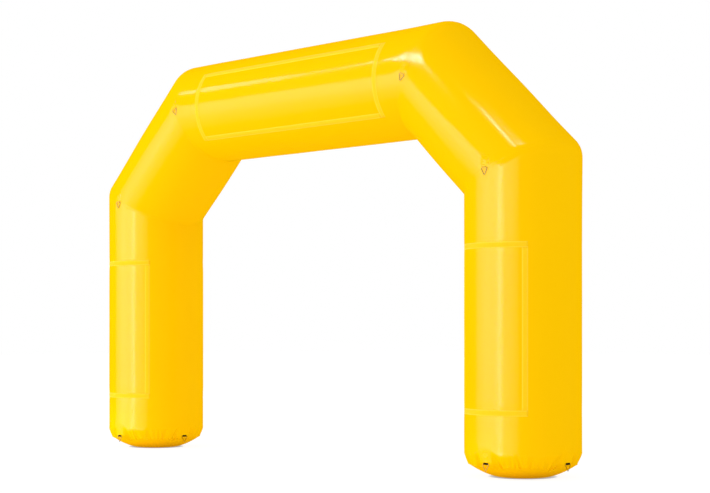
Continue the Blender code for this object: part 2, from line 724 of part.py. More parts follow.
class Valve:
    """Inflation valve with a sprung plunger. Its Z axis points out of the tube from the skin."""

    def __init__(self, finishes, smoothing, collection, cutters):
        self.finishes = finishes
        self.smoothing = smoothing
        self.collection = collection
        self.cutters = cutters
        self.bore = VALVE_BORE / 2
        self.barrel = self.bore + VALVE_BARREL_WALL
        self.flange = self.barrel + VALVE_FLANGE_WIDTH
        self.flange_low = WELD_GAP + VALVE_GASKET_THICKNESS + WELD_GAP
        self.flange_top = self.flange_low + VALVE_FLANGE_THICKNESS
        self.rim = self.flange_top + VALVE_MOUTH_HEIGHT
        self.button_top = self.rim - BUTTON_DEPTH
        self.button_low = self.button_top - BUTTON_THICKNESS
        self.hub_top = self.rim - HUB_DEPTH
        self.hub_low = self.hub_top - HUB_THICKNESS
        self.stem = STEM_DIAMETER / 2
        self.hub_bore = self.stem + STEM_CLEARANCE
        self.hub_rim = self.hub_bore + HUB_WALL
        spot = Matrix.Translation((LEG_X, FLAT_RADIUS, VALVE_HEIGHT))
        place = spot @ Matrix.Rotation(-math.pi / 2, 4, "X")
        self.axis = add_empty("inflation_valve_axis", place, collection)

    def turned_piece(self, name, profile, finish, closed=False):
        material = self.finishes[finish]
        return turned(name, profile, VALVE_STEPS, material, self.collection, self.axis, closed)

    def turned_cutter(self, name, profile, closed=False):
        return as_cutter(turned(name, profile, VALVE_STEPS, None, self.cutters, self.axis, closed))

    def box_cutter(self, name, boxes):
        return as_cutter(add_object(name, box_mesh(name, boxes), None, self.cutters, self.axis))

    def cut_hole(self, leg_tube):
        """Hole in the skin for the barrel."""
        radius = self.barrel + WELD_GAP
        hole = self.turned_cutter(
            "valve_hole",
            [(0, CUTTER_OVERRUN), (radius, CUTTER_OVERRUN), (radius, -CUTTER_OVERRUN), (0, -CUTTER_OVERRUN)],
        )
        boolean(leg_tube, "DIFFERENCE", hole)

    def add_body(self):
        """Flanged barrel, with a hub on arms at its inner end that guides the stem."""
        body = self.turned_piece(
            "inflation_valve_body",
            [
                (self.bore, -VALVE_DEPTH),
                (self.bore, self.rim),
                (self.barrel, self.rim),
                (self.barrel, self.flange_top),
                (self.flange - VALVE_FLANGE_CHAMFER, self.flange_top),
                (self.flange, self.flange_top - VALVE_FLANGE_CHAMFER),
                (self.flange, self.flange_low),
                (self.barrel, self.flange_low),
                (self.barrel, -VALVE_DEPTH),
            ],
            "valve_plastic",
            closed=True,
        )
        hub = self.turned_cutter(
            "valve_hub",
            [
                (self.hub_bore, self.hub_low),
                (self.hub_bore, self.hub_top),
                (self.hub_rim, self.hub_top),
                (self.hub_rim, self.hub_low),
            ],
            closed=True,
        )
        start = self.hub_bore + HUB_WALL / 2
        end = self.bore + VALVE_BARREL_WALL / 2
        centre = ((start + end) / 2, 0, (self.hub_low + self.hub_top) / 2)
        size = (end - start, HUB_ARM_WIDTH, HUB_THICKNESS - 2 * HUB_ARM_INSET)
        turns = [2 * math.pi * (k + 1 / 2) / HUB_ARMS for k in range(HUB_ARMS)]
        boolean(hub, "UNION", self.box_cutter("valve_arms", [(centre, size, turn) for turn in turns]))
        boolean(body, "UNION", hub)
        smooth(body, self.smoothing)

    def add_washer(self, name, width, low, top, finish):
        """Flat ring round the barrel: the gasket outside the skin, or the nut inside it."""
        inner = self.barrel + WELD_GAP
        outer = inner + width
        profile = [(inner, low), (inner, top), (outer, top), (outer, low)]
        smooth(self.turned_piece(name, profile, finish, closed=True), self.smoothing)

    def add_plunger(self):
        """Button, stem and seal disc in one piece."""
        seal_top = -VALVE_DEPTH - WELD_GAP
        seal_rim = self.bore + SEAL_DISC_OVERLAP
        plunger = self.turned_piece(
            "inflation_valve_plunger",
            [
                (0, self.button_top),
                (BUTTON_DIAMETER / 2, self.button_top),
                (BUTTON_DIAMETER / 2, self.button_low),
                (self.stem, self.button_low),
                (self.stem, seal_top),
                (seal_rim, seal_top),
                (seal_rim, seal_top - SEAL_DISC_THICKNESS),
                (0, seal_top - SEAL_DISC_THICKNESS),
            ],
            "valve_plastic",
        )
        smooth(plunger, self.smoothing)

    def add_spring(self):
        """Coil between the hub and the button."""
        wire = SPRING_WIRE / 2
        radius = self.stem + SPRING_STEM_CLEARANCE + wire
        low = self.hub_top + WELD_GAP + wire
        height = self.button_low - WELD_GAP - wire - low
        steps = round(SPRING_TURNS * SPRING_STEPS_PER_TURN)
        coil = []
        for step in range(steps + 1):
            angle = 2 * math.pi * step / SPRING_STEPS_PER_TURN
            coil.append((radius * math.cos(angle), radius * math.sin(angle), low + height * step / steps))
        curve = bpy.data.curves.new("inflation_valve_spring", "CURVE")
        curve.dimensions = "3D"
        curve.bevel_depth = wire
        curve.bevel_resolution = 1
        curve.use_fill_caps = True
        poly_spline(curve, coil, False)
        add_object("inflation_valve_spring", curve, self.finishes["steel"], self.collection, self.axis)

    def add_cap(self):
        """Plug with a lip over the rim and a ridge to pull it by."""
        low = self.rim + WELD_GAP
        top = low + CAP_THICKNESS
        cap_rim = self.barrel + CAP_LIP
        plug = self.bore - WELD_GAP
        plug_low = self.rim - CAP_PLUG_DEPTH
        cap = self.turned_piece(
            "inflation_valve_cap",
            [
                (0, top),
                (cap_rim - CAP_CHAMFER, top),
                (cap_rim, top - CAP_CHAMFER),
                (cap_rim, low),
                (plug, low),
                (plug, plug_low),
                (0, plug_low),
            ],
            "valve_plastic",
        )
        height = CAP_RIDGE_HEIGHT + CAP_THICKNESS / 2
        centre = (0, 0, top - CAP_THICKNESS / 2 + height / 2)
        size = (2 * (cap_rim - CAP_RIDGE_INSET), CAP_RIDGE_WIDTH, height)
        boolean(cap, "UNION", self.box_cutter("cap_ridge", [(centre, size, 0.0)]))
        smooth(cap, self.smoothing)

    def build(self, leg_tube):
        """All of the valve's pieces, and its hole in the leg."""
        self.cut_hole(leg_tube)
        self.add_body()
        gasket_width = VALVE_FLANGE_WIDTH - WELD_GAP
        gasket_top = self.flange_low - WELD_GAP
        self.add_washer("inflation_valve_gasket", gasket_width, WELD_GAP, gasket_top, "rubber")
        nut_top = -SKIN_THICKNESS - WELD_GAP
        nut_low = nut_top - VALVE_NUT_THICKNESS
        self.add_washer("inflation_valve_nut", VALVE_NUT_WIDTH, nut_low, nut_top, "valve_plastic")
        self.add_plunger()
        self.add_spring()
        self.add_cap()


def main():
    clear_scene()
    collection = make_collection(COLLECTION_NAME)
    cutters = make_collection(CUTTER_COLLECTION_NAME)
    finishes = {
        "vinyl": Finish("glossy yellow vinyl", (0.98, 0.58, 0.0), 0.22),
        "loop_tape": Finish("yellow loop tape", (0.95, 0.56, 0.01), 0.75),
        "yellow_webbing": Finish("yellow webbing", (0.95, 0.55, 0.0), 0.7),
        "black_webbing": Finish("black webbing", (0.015, 0.015, 0.017), 0.8),
        "steel": Finish("plated steel wire", (0.72, 0.7, 0.68), 0.28, 1.0),
        "valve_plastic": Finish("grey valve plastic", (0.09, 0.09, 0.1), 0.4),
        "rubber": Finish("black seal rubber", (0.02, 0.02, 0.02), 0.7),
    }
    mitres = make_mitres()
    right_leg_tube = build_envelope(mitres, finishes["vinyl"], collection)
    build_seam_tapes(mitres, finishes["vinyl"], collection)
    smoothing = make_smoothing()
    build_bases(finishes["vinyl"], smoothing, collection)
    build_banner_frames(finishes["loop_tape"], collection)
    build_anchors(mitres, finishes, collection, cutters)
    Valve(finishes, smoothing, collection, cutters).build(right_leg_tube)


main()
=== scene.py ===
"""Visual model of the inflatable advertising arch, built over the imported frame.

The origin is on the floor midway between the legs. X runs from the left leg to the right leg as seen
from the front, the front faces -Y, and Z is up. All sizes are in metres and all angles in radians,
unless a name says degrees.
"""

from __future__ import annotations

import logging
import math
from collections.abc import Callable, Iterable, Sequence
from dataclasses import dataclass, field
from enum import Enum

import bmesh
import bpy
import numpy as np
from mathutils import Matrix, Vector, noise


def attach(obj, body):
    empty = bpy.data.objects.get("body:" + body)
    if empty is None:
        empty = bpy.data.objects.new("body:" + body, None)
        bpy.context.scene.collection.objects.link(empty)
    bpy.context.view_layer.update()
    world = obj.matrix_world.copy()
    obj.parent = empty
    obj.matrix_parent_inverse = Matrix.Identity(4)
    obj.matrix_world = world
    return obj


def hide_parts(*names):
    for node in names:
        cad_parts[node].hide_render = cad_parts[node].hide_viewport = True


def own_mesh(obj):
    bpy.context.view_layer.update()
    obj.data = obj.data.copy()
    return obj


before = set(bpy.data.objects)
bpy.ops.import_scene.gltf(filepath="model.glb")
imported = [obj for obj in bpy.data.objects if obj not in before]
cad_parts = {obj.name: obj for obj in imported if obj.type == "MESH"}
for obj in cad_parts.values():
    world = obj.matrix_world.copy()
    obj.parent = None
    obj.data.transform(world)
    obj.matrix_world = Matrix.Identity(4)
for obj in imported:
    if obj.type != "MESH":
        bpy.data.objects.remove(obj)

log = logging.getLogger("arch")

ROOT_BODY = "arch"

Grid = np.ndarray
Line = tuple[Grid, Grid]
Pair = tuple[float, float]
Spot = tuple[float, float, float]
Colour = tuple[float, float, float]
Socket = bpy.types.NodeSocket
Feed = Socket | float | Sequence[float]


# Sizes shared by the pieces


@dataclass(frozen=True)
class ArchSizes:
    """Main sizes of the arch, the same as the frame's."""

    tube_radius: float = 0.5
    flat_radius: float = 0.497592
    leg_x: float = 2.545
    lower_mitre_z: float = 2.595
    upper_mitre_x: float = 1.595
    beam_z: float = 3.48
    outer_corner_radius: float = 0.17
    inner_corner_radius: float = 0.062
    corner_ease_top: float = 0.66
    foot_curve_height: float = 0.24
    base_seam_radius: float = 0.46
    base_seam_height: float = 0.11
    floor_patch_radius: float = 0.2
    foot_curve_power: float = 1.55
    dish_power: float = 1.57
    bar_standoff: float = 0.00435
    base_ring_height: float = 0.13
    base_bar_reach: float = 0.483595
    base_tab_lean: float = 0.165805

    @property
    def shoulder_heading(self) -> float:
        """Angle of the shoulders above the horizontal."""
        return math.atan2(self.beam_z - self.lower_mitre_z, self.leg_x - self.upper_mitre_x)

    def foot_radius(self, share: float | Grid) -> float | Grid:
        """Radius of a foot at a share of the way up from its base seam to the straight tube."""
        return self.tube_radius - (self.tube_radius - self.base_seam_radius) * (1 - share) ** self.foot_curve_power


ARCH = ArchSizes()


class Section(Enum):
    """Tube sections of the arch, from the left leg to the right leg."""

    LEFT_LEG = "left_leg"
    LEFT_SHOULDER = "left_shoulder"
    BEAM = "beam"
    RIGHT_SHOULDER = "right_shoulder"
    RIGHT_LEG = "right_leg"

    @property
    def slants(self) -> bool:
        """Whether the section is a shoulder, which carries no banner frames."""
        return self in (Section.LEFT_SHOULDER, Section.RIGHT_SHOULDER)

    @property
    def side(self) -> int:
        """-1 on the left of the arch, 1 on the right and 0 for the beam."""
        return {"left": -1, "beam": 0, "right": 1}[self.value.split("_")[0]]


class Facing(Enum):
    """Sides of the arch that carry banners, with the direction each one faces along Y."""

    FRONT = -1
    REAR = 1


# Shader nodes


class NodeKit:
    """Short calls that add nodes to a node tree."""

    def __init__(self, tree: bpy.types.NodeTree) -> None:
        """Takes the tree that the nodes go to."""
        self.tree = tree

    def feed(self, socket: Socket, value: Feed) -> None:
        """Links an input to a socket, or sets its value.

        Args:
            socket: The input.
            value: A socket, a number or the numbers of a vector or a colour.
        """
        if isinstance(value, bpy.types.NodeSocket):
            self.tree.links.new(value, socket)
        else:
            socket.default_value = value

    def add(self, kind: str, inputs: dict[str | int, Feed] | None = None, **settings: object) -> bpy.types.Node:
        """Adds a node.

        Args:
            kind: What follows ShaderNode in the node's type.
            inputs: What feeds its inputs, by their names or numbers.
            settings: Its settings.

        Returns:
            The node.
        """
        node = self.tree.nodes.new(f"ShaderNode{kind}")
        for label, value in settings.items():
            setattr(node, label, value)
        for label, value in (inputs or {}).items():
            self.feed(node.inputs[label], value)
        return node

    def math(self, operation: str, *values: Feed) -> Socket:
        """Result of a Math node on sockets or numbers."""
        return self.add("Math", dict(enumerate(values)), operation=operation).outputs[0]

    def clamp(self, value: Socket) -> Socket:
        """A number held between 0 and 1."""
        return self.add("Clamp", {"Value": value}).outputs[0]

    def parts(self, vector: Socket) -> bpy.types.NodeOutputs:
        """The three numbers of a vector."""
        return self.add("SeparateXYZ", {0: vector}).outputs

    def tint(self, mask: Socket, low: Socket | Colour, high: Colour) -> Socket:
        """Mixes two colours by a mask.

        Args:
            mask: 0 for the first colour and 1 for the second.
            low: The first colour, or a socket that gives it.
            high: The second colour.

        Returns:
            The mixed colour.
        """
        first = low if isinstance(low, bpy.types.NodeSocket) else (*low, 1.0)
        node = self.add("Mix", {"Factor": mask, "A": first, "B": (*high, 1.0)}, data_type="RGBA")
        return node.outputs["Result"]

    def between(self, mask: Socket, low: float, high: Socket | float) -> Socket:
        """Number that runs from low to high with a mask."""
        return self.math("ADD", self.math("MULTIPLY", mask, self.math("SUBTRACT", high, low)), low)


class EffectGroup(NodeKit):
    """A shader node group with named sockets, as an effect that more than one finish uses."""

    def __init__(self, name: str, inputs: dict[str, float], outputs: Sequence[str]) -> None:
        """Makes the group.

        Args:
            name: Name of the group.
            inputs: Name and default of each number that goes in, beside the vector.
            outputs: Name of each number that comes out.
        """
        super().__init__(bpy.data.node_groups.new(name, "ShaderNodeTree"))
        sockets = self.tree.interface
        sockets.new_socket("Vector", in_out="INPUT", socket_type="NodeSocketVector")
        for label, default in inputs.items():
            sockets.new_socket(label, in_out="INPUT", socket_type="NodeSocketFloat").default_value = default
        for label in outputs:
            sockets.new_socket(label, in_out="OUTPUT", socket_type="NodeSocketFloat")
        self.given = self.tree.nodes.new("NodeGroupInput").outputs
        self.gives = self.tree.nodes.new("NodeGroupOutput").inputs


def build_scrim_group() -> bpy.types.NodeTree:
    """Makes the faint print of the fabric's threads through its coating.

    Returns:
        The group. Its vector is the flat cut in metres.
    """
    group = EffectGroup("scrim_threads", {"Pitch": 0.0016}, ["Height"])
    parts = group.parts(group.given["Vector"])
    turns = group.math("DIVIDE", 2 * math.pi, group.given["Pitch"])
    waves = [group.math("SINE", group.math("MULTIPLY", parts[k], turns)) for k in (0, 1)]
    group.feed(group.gives["Height"], group.math("MULTIPLY", group.math("ADD", *waves), 0.25))
    return group.tree


def build_ripple_group() -> bpy.types.NodeTree:
    """Makes the slow unevenness of a tight skin, longer along the tube than round it.

    Returns:
        The group. Its vector is the flat cut in metres.
    """
    group = EffectGroup("tight_skin_ripple", {"Across": 9.0, "Along": 2.2, "Detail": 2.0}, ["Height"])
    given = group.given
    stretch = group.add("CombineXYZ", {0: given["Across"], 1: given["Along"]}).outputs[0]
    scaled = group.add("VectorMath", {0: given["Vector"], 1: stretch}, operation="MULTIPLY").outputs[0]
    look = {"Vector": scaled, "Scale": 1.0, "Detail": given["Detail"], "Roughness": 0.45}
    group.feed(group.gives["Height"], group.add("TexNoise", look).outputs["Fac"])
    return group.tree


def build_mottle_group() -> bpy.types.NodeTree:
    """Makes the patchy mask of handling marks and uneven coating.

    Returns:
        The group. Its vector is a place in metres.
    """
    group = EffectGroup("handling_mottle", {"Scale": 3.0, "Cut": 0.5, "Spread": 0.25}, ["Mask"])
    given = group.given
    look = {"Vector": given["Vector"], "Scale": given["Scale"], "Detail": 5.0, "Roughness": 0.6}
    above = group.math("SUBTRACT", group.add("TexNoise", look).outputs["Fac"], given["Cut"])
    group.feed(group.gives["Mask"], group.clamp(group.math("DIVIDE", above, given["Spread"])))
    return group.tree


def build_floor_darkening_group() -> bpy.types.NodeTree:
    """Makes a mask that rises towards the floor, broken up by noise.

    Returns:
        The group. Its vector is a place in metres.
    """
    group = EffectGroup("darker_near_floor", {"Height": 0.06, "Breakup": 14.0}, ["Mask"])
    given = group.given
    look = {"Vector": given["Vector"], "Scale": given["Breakup"], "Detail": 4.0}
    height = group.math("DIVIDE", group.parts(given["Vector"])[2], given["Height"])
    low = group.math("SUBTRACT", 1.0, height)
    broken = group.math("MULTIPLY", low, group.add("TexNoise", look).outputs["Fac"])
    group.feed(group.gives["Mask"], group.clamp(broken))
    return group.tree


def build_weave_group() -> bpy.types.NodeTree:
    """Makes a plain weave with a break in it, for webbing and tape.

    Returns:
        The group. Its vector is the flat cut in metres.
    """
    group = EffectGroup("plain_weave", {"Across": 0.0012, "Along": 0.0018}, ["Height", "Shade"])
    parts = group.parts(group.given["Vector"])
    waves = []
    for axis, pitch in ((0, "Across"), (1, "Along")):
        turns = group.math("DIVIDE", math.pi, group.given[pitch])
        waves.append(group.math("SINE", group.math("MULTIPLY", parts[axis], turns)))
    crossing = group.math("ABSOLUTE", group.math("MULTIPLY", *waves))
    group.feed(group.gives["Height"], crossing)
    fuzz = group.add("TexNoise", {"Vector": group.given["Vector"], "Scale": 160.0}).outputs["Fac"]
    shade = group.math("ADD", group.math("MULTIPLY", crossing, 0.6), group.math("MULTIPLY", fuzz, 0.4))
    group.feed(group.gives["Shade"], shade)
    return group.tree


@dataclass(frozen=True)
class SharedEffects:
    """The node groups that more than one finish uses, each built once."""

    scrim: bpy.types.NodeTree = field(default_factory=build_scrim_group)
    ripple: bpy.types.NodeTree = field(default_factory=build_ripple_group)
    mottle: bpy.types.NodeTree = field(default_factory=build_mottle_group)
    floor_darkening: bpy.types.NodeTree = field(default_factory=build_floor_darkening_group)
    weave: bpy.types.NodeTree = field(default_factory=build_weave_group)


# Finishes


class Dresser(NodeKit):
    """Builds one material, with short calls for the nodes that the finishes share."""

    def __init__(self, name: str, roughness: float, metallic: float = 0.0, specular: float = 0.5) -> None:
        """Makes the material with its Principled BSDF.

        Args:
            name: Name of the material.
            roughness: Roughness where nothing changes it.
            metallic: 1 for bare metal and 0 for everything else.
            specular: Specular level.
        """
        self.material = bpy.data.materials.new(name)
        self.material.use_nodes = True
        super().__init__(self.material.node_tree)
        self.shader = self.tree.nodes["Principled BSDF"]
        self.give("Roughness", roughness)
        self.give("Metallic", metallic)
        self.give("Specular IOR Level", specular)

    def give(self, label: str, value: Feed) -> None:
        """Feeds one of the shader's inputs."""
        self.feed(self.shader.inputs[label], value)

    def cut(self) -> Socket:
        """Place on the flat cut of the piece, in metres."""
        return self.add("UVMap", uv_map="flat_cut").outputs["UV"]

    def place(self) -> Socket:
        """Place on the object, in metres."""
        return self.add("TexCoord").outputs["Object"]

    def effect(self, tree: bpy.types.NodeTree, vector: Socket, **values: float) -> bpy.types.NodeOutputs:
        """Places a node group.

        Args:
            tree: The group.
            vector: Where the group is looked up.
            values: The group's numbers, by socket name.

        Returns:
            What the group puts out.
        """
        node = self.add("Group", node_tree=tree)
        for label, value in {"Vector": vector, **values}.items():
            self.feed(node.inputs[label], value)
        return node.outputs

    def relief(self, *layers: tuple[Socket, float]) -> None:
        """Gives the shader a surface relief.

        Args:
            layers: Each height from 0 to 1, with the depth in metres that 1 stands for.
        """
        below: dict[str | int, Feed] = {}
        for height, depth in layers:
            node = self.add("Bump", {"Distance": depth, "Height": height, **below})
            below = {"Normal": node.outputs["Normal"]}
        self.give("Normal", below["Normal"])

    def fade_gloss(self, level: float, start: float, end: float) -> None:
        """Lowers the specular level towards the rims, where fine wrinkles break the gloss up.

        Args:
            level: Specular level where the surface faces the view.
            start: Layer Weight facing value at which the level starts to fall.
            end: Facing value at which little of it is left.
        """
        fall = {"Value": self.add("LayerWeight").outputs["Facing"], "From Min": start, "From Max": end}
        fall.update({"To Min": level, "To Max": 0.08 * level})
        self.give("Specular IOR Level", self.add("MapRange", fall, interpolation_type="SMOOTHSTEP").outputs[0])


@dataclass(frozen=True)
class CoatedFabric:
    """Glossy PVC coated fabric, as the skin and its patches are cut from."""

    name: str
    colour: Colour
    worn_colour: Colour
    floor_darkened_colour: Colour
    gloss: float
    dull: float
    specular: float
    specular_tint: Colour
    rim_fade: Pair
    ripple_depth: float
    scrim_depth: float
    grain_depth: float

    def dress(self, effects: SharedEffects) -> bpy.types.Material:
        """Builds the material.

        Args:
            effects: The shared node groups.

        Returns:
            The material.
        """
        kit = Dresser(self.name, self.gloss, specular=self.specular)
        kit.give("Specular Tint", (*self.specular_tint, 1.0))
        cut, place = kit.cut(), kit.place()
        mottle = kit.effect(effects.mottle, place, Scale=1.7, Cut=0.42, Spread=0.3)["Mask"]
        marks = kit.effect(effects.mottle, place, Scale=9.0, Cut=0.56, Spread=0.2)["Mask"]
        grain = kit.effect(effects.mottle, place, Scale=170.0, Cut=0.3, Spread=0.5)["Mask"]
        # Mask that rises within 7 cm of the floor; the skin is darker and duller under it.
        floor_darkening = kit.effect(effects.floor_darkening, place, Height=0.07, Breakup=14.0)["Mask"]
        ripple = kit.effect(effects.ripple, cut, Across=7.0, Along=1.6, Detail=2.0)["Height"]
        scrim = kit.effect(effects.scrim, cut, Pitch=0.0018)["Height"]
        kit.give("Base Color", kit.tint(floor_darkening, kit.tint(mottle, self.colour, self.worn_colour), self.floor_darkened_colour))
        kit.give("Roughness", kit.between(kit.math("MAXIMUM", marks, floor_darkening), self.gloss, self.dull))
        kit.fade_gloss(self.specular, *self.rim_fade)
        kit.relief((ripple, self.ripple_depth), (grain, self.grain_depth), (scrim, self.scrim_depth))
        return kit.material


@dataclass(frozen=True)
class LoopTape:
    """Loop half of hook-and-loop tape: a napped middle between two flat woven edges."""

    name: str
    pile_colour: Colour
    pile_shadow: Colour
    edge_colour: Colour
    tape_width: float
    edge_width: float
    roughness: float
    specular: float
    sheen: float
    sheen_tint: Colour

    def dress(self, effects: SharedEffects) -> bpy.types.Material:
        """Builds the material.

        Args:
            effects: The shared node groups.

        Returns:
            The material.
        """
        kit = Dresser(self.name, self.roughness, specular=self.specular)
        kit.give("Sheen Weight", self.sheen)
        kit.give("Sheen Roughness", 0.4)
        kit.give("Sheen Tint", (*self.sheen_tint, 1.0))
        cut, half = kit.cut(), self.tape_width / 2
        from_middle = kit.math("ABSOLUTE", kit.math("SUBTRACT", kit.parts(cut)[0], half))
        is_edge = kit.math("LESS_THAN", kit.math("SUBTRACT", half, from_middle), self.edge_width)
        loops = kit.add("TexVoronoi", {"Scale": 900.0, "Vector": cut}).outputs["Distance"]
        nap = kit.effect(effects.mottle, cut, Scale=60.0, Cut=0.35, Spread=0.4)["Mask"]
        weave = kit.effect(effects.weave, cut, Across=0.0009, Along=0.0013)["Height"]
        kit.give("Base Color", kit.tint(is_edge, kit.tint(nap, self.pile_colour, self.pile_shadow), self.edge_colour))
        kit.relief((weave, 0.00012), (loops, 0.0003), (nap, 0.0002))
        return kit.material


@dataclass(frozen=True)
class Webbing:
    """Woven polyester webbing."""

    name: str
    colour: Colour
    shadow: Colour
    roughness: float
    specular: float
    sheen: float
    rib: float = 0.0016

    def dress(self, effects: SharedEffects) -> bpy.types.Material:
        """Builds the material.

        Args:
            effects: The shared node groups.

        Returns:
            The material.
        """
        kit = Dresser(self.name, self.roughness, specular=self.specular)
        kit.give("Sheen Weight", self.sheen)
        weave = kit.effect(effects.weave, kit.cut(), Across=self.rib, Along=self.rib * 0.7)
        kit.give("Base Color", kit.tint(weave["Shade"], self.shadow, self.colour))
        kit.relief((weave["Height"], 0.0004))
        return kit.material


@dataclass(frozen=True)
class HardFinish:
    """Metal or moulding with a fine grain, and duller, differently coloured patches."""

    name: str
    colour: Colour
    patch_colour: Colour
    polish: float
    dull: float
    metallic: float
    patches: Spot
    grain: Spot
    grain_depth: float

    def dress(self, effects: SharedEffects) -> bpy.types.Material:
        """Builds the material.

        Args:
            effects: The shared node groups.

        Returns:
            The material.
        """
        kit = Dresser(self.name, self.polish, metallic=self.metallic)
        place = kit.place()
        patches, grain = [
            kit.effect(effects.mottle, place, Scale=scale, Cut=cut, Spread=spread)["Mask"]
            for scale, cut, spread in (self.patches, self.grain)
        ]
        kit.give("Base Color", kit.tint(patches, self.colour, self.patch_colour))
        kit.give("Roughness", kit.between(patches, self.polish, self.dull))
        kit.relief((grain, self.grain_depth))
        return kit.material


def plated_wire(name: str, colour: Colour, dull_colour: Colour, polish: float, dull: float) -> HardFinish:
    """Plated steel wire with fine drawing marks and a little dulling."""
    return HardFinish(name, colour, dull_colour, polish, dull, 1.0, (120.0, 0.45, 0.35), (900.0, 0.3, 0.6), 0.00004)


def moulding(
    name: str, colour: Colour, scuffed_colour: Colour, polish: float, dull: float, grain_depth: float
) -> HardFinish:
    """Moulded plastic or rubber with a fine spark-eroded grain."""
    scuffs, grain = (70.0, 0.55, 0.15), (1600.0, 0.3, 0.5)
    return HardFinish(name, colour, scuffed_colour, polish, dull, 0.0, scuffs, grain, grain_depth)


FABRIC = CoatedFabric(
    name="glossy_yellow_coated_fabric",
    colour=(0.965, 0.544, 0.0),
    worn_colour=(0.97, 0.552, 0.0),
    # Darker colour that the skin takes on towards the floor.
    floor_darkened_colour=(0.86, 0.47, 0.01),
    gloss=0.1,
    dull=0.15,
    specular=0.12,
    specular_tint=(1.0, 0.85, 0.6),
    rim_fade=(0.3, 0.68),
    ripple_depth=0.0012,
    scrim_depth=0.00002,
    grain_depth=0.00005,
)
LOOP_TAPE = LoopTape(
    name="yellow_loop_tape",
    pile_colour=(0.985, 0.61, 0.006),
    pile_shadow=(0.96, 0.57, 0.004),
    edge_colour=(1.0, 0.66, 0.03),
    tape_width=0.05,
    edge_width=0.008,
    roughness=0.75,
    specular=0.15,
    sheen=0.03,
    sheen_tint=(1.0, 0.9, 0.55),
)
YELLOW_WEBBING = Webbing("yellow_polyester_webbing", (0.95, 0.58, 0.02), (0.75, 0.4, 0.004), 0.65, 0.3, 0.15)
BLACK_WEBBING = Webbing("black_polyester_webbing", (0.009, 0.007, 0.007), (0.003, 0.002, 0.002), 0.8, 0.05, 0.0)
# The ring wire's darkened yellow-brown colour is a painted reflection of the yellow skin on the steel; its darker
# patches are random dulling.
RING_WIRE = plated_wire("steel_wire_painted_skin_reflection", (0.24, 0.185, 0.1), (0.13, 0.09, 0.035), 0.34, 0.5)
SPRING_WIRE = plated_wire("spring_steel_wire", (0.6, 0.6, 0.6), (0.42, 0.41, 0.4), 0.24, 0.4)
VALVE_PLASTIC = moulding("grey_valve_plastic", (0.075, 0.078, 0.085), (0.12, 0.12, 0.125), 0.38, 0.55, 0.00005)
SEAL_RUBBER = moulding("black_seal_rubber", (0.018, 0.018, 0.018), (0.04, 0.04, 0.04), 0.7, 0.85, 0.00006)

Finish = CoatedFabric | LoopTape | Webbing | HardFinish


@dataclass
class Wardrobe:
    """The finishes' materials, each built the first time that a piece wears it."""

    effects: SharedEffects = field(default_factory=SharedEffects)
    made: dict[str, bpy.types.Material] = field(default_factory=dict)

    def of(self, finish: Finish) -> bpy.types.Material:
        """Material of a finish.

        Args:
            finish: The finish.

        Returns:
            Its material, built here if no piece wears it yet.
        """
        if finish.name not in self.made:
            self.made[finish.name] = finish.dress(self.effects)
        return self.made[finish.name]

    def add_piece(
        self, data: bpy.types.Mesh | bpy.types.Curve, finish: Finish, slot: str, body: str, *replaced: str
    ) -> bpy.types.Object:
        """Adds a piece of the arch to the scene, under the name of its mesh or curve.

        Args:
            data: Its mesh or curve, in the frame's coordinates.
            finish: Its finish.
            slot: The record's material slot; not used.
            body: The frame's body that it rides on.
            replaced: The frame's nodes that it stands for.

        Returns:
            The new object.
        """
        data.materials.append(self.of(finish))
        piece = bpy.data.objects.new(data.name, data)
        bpy.context.scene.collection.objects.link(piece)
        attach(piece, body)
        if replaced:
            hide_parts(*replaced)
        return piece


# Meshes


def wire_curve(name: str, path: Grid, radius: float, closed: bool) -> bpy.types.Curve:
    """Round wire along a path.

    Args:
        name: Name of the curve.
        path: Points of its centreline.
        radius: Radius of the wire.
        closed: True if its ends meet.

    Returns:
        The curve.
    """
    curve = bpy.data.curves.new(name, "CURVE")
    curve.dimensions = "3D"
    curve.bevel_depth = radius
    curve.bevel_resolution = 5
    curve.use_fill_caps = True
    spline = curve.splines.new("POLY")
    spline.points.add(len(path) - 1)
    for target, spot in zip(spline.points, path):
        target.co = (*spot, 1.0)
    spline.use_cyclic_u = closed
    return curve


def grid_mesh(name: str, rows: Grid, cut: Grid, wraps: bool) -> bpy.types.Mesh:
    """Smooth mesh through a grid, facing the side from which the rows' points run anticlockwise.

    Args:
        name: Name of the mesh.
        rows: Points as an array of rows, columns and coordinates.
        cut: Place on the flat cut of each grid point, with one more column where the grid wraps.
        wraps: Whether the last column joins the first.

    Returns:
        The mesh.
    """
    count, columns = rows.shape[:2]
    i, j = np.meshgrid(np.arange(count - 1), np.arange(columns if wraps else columns - 1), indexing="ij")
    i, j = i.ravel(), j.ravel()
    n = (j + 1) % columns
    quads = np.stack([i * columns + j, i * columns + n, (i + 1) * columns + n, (i + 1) * columns + j], axis=1)
    corners = np.stack([cut[i, j], cut[i, j + 1], cut[i + 1, j + 1], cut[i + 1, j]], axis=1)
    mesh = bpy.data.meshes.new(name)
    mesh.vertices.add(count * columns)
    mesh.vertices.foreach_set("co", rows.astype(np.float32).ravel())
    mesh.loops.add(quads.size)
    mesh.loops.foreach_set("vertex_index", quads.astype(np.int32).ravel())
    mesh.polygons.add(len(quads))
    mesh.polygons.foreach_set("loop_start", np.arange(0, quads.size, 4, dtype=np.int32))
    mesh.uv_layers.new(name="flat_cut").data.foreach_set("uv", corners.astype(np.float32).ravel())
    mesh.update(calc_edges=True)
    mesh.validate()
    mesh.shade_smooth()
    return mesh


def flat_cut(widths: Sequence[float], lengths: Sequence[float]) -> Grid:
    """Places on the flat cut for a grid with evenly cut rows and columns."""
    across, along = np.meshgrid(np.asarray(widths, float), np.asarray(lengths, float))
    return np.stack([across, along], axis=2)


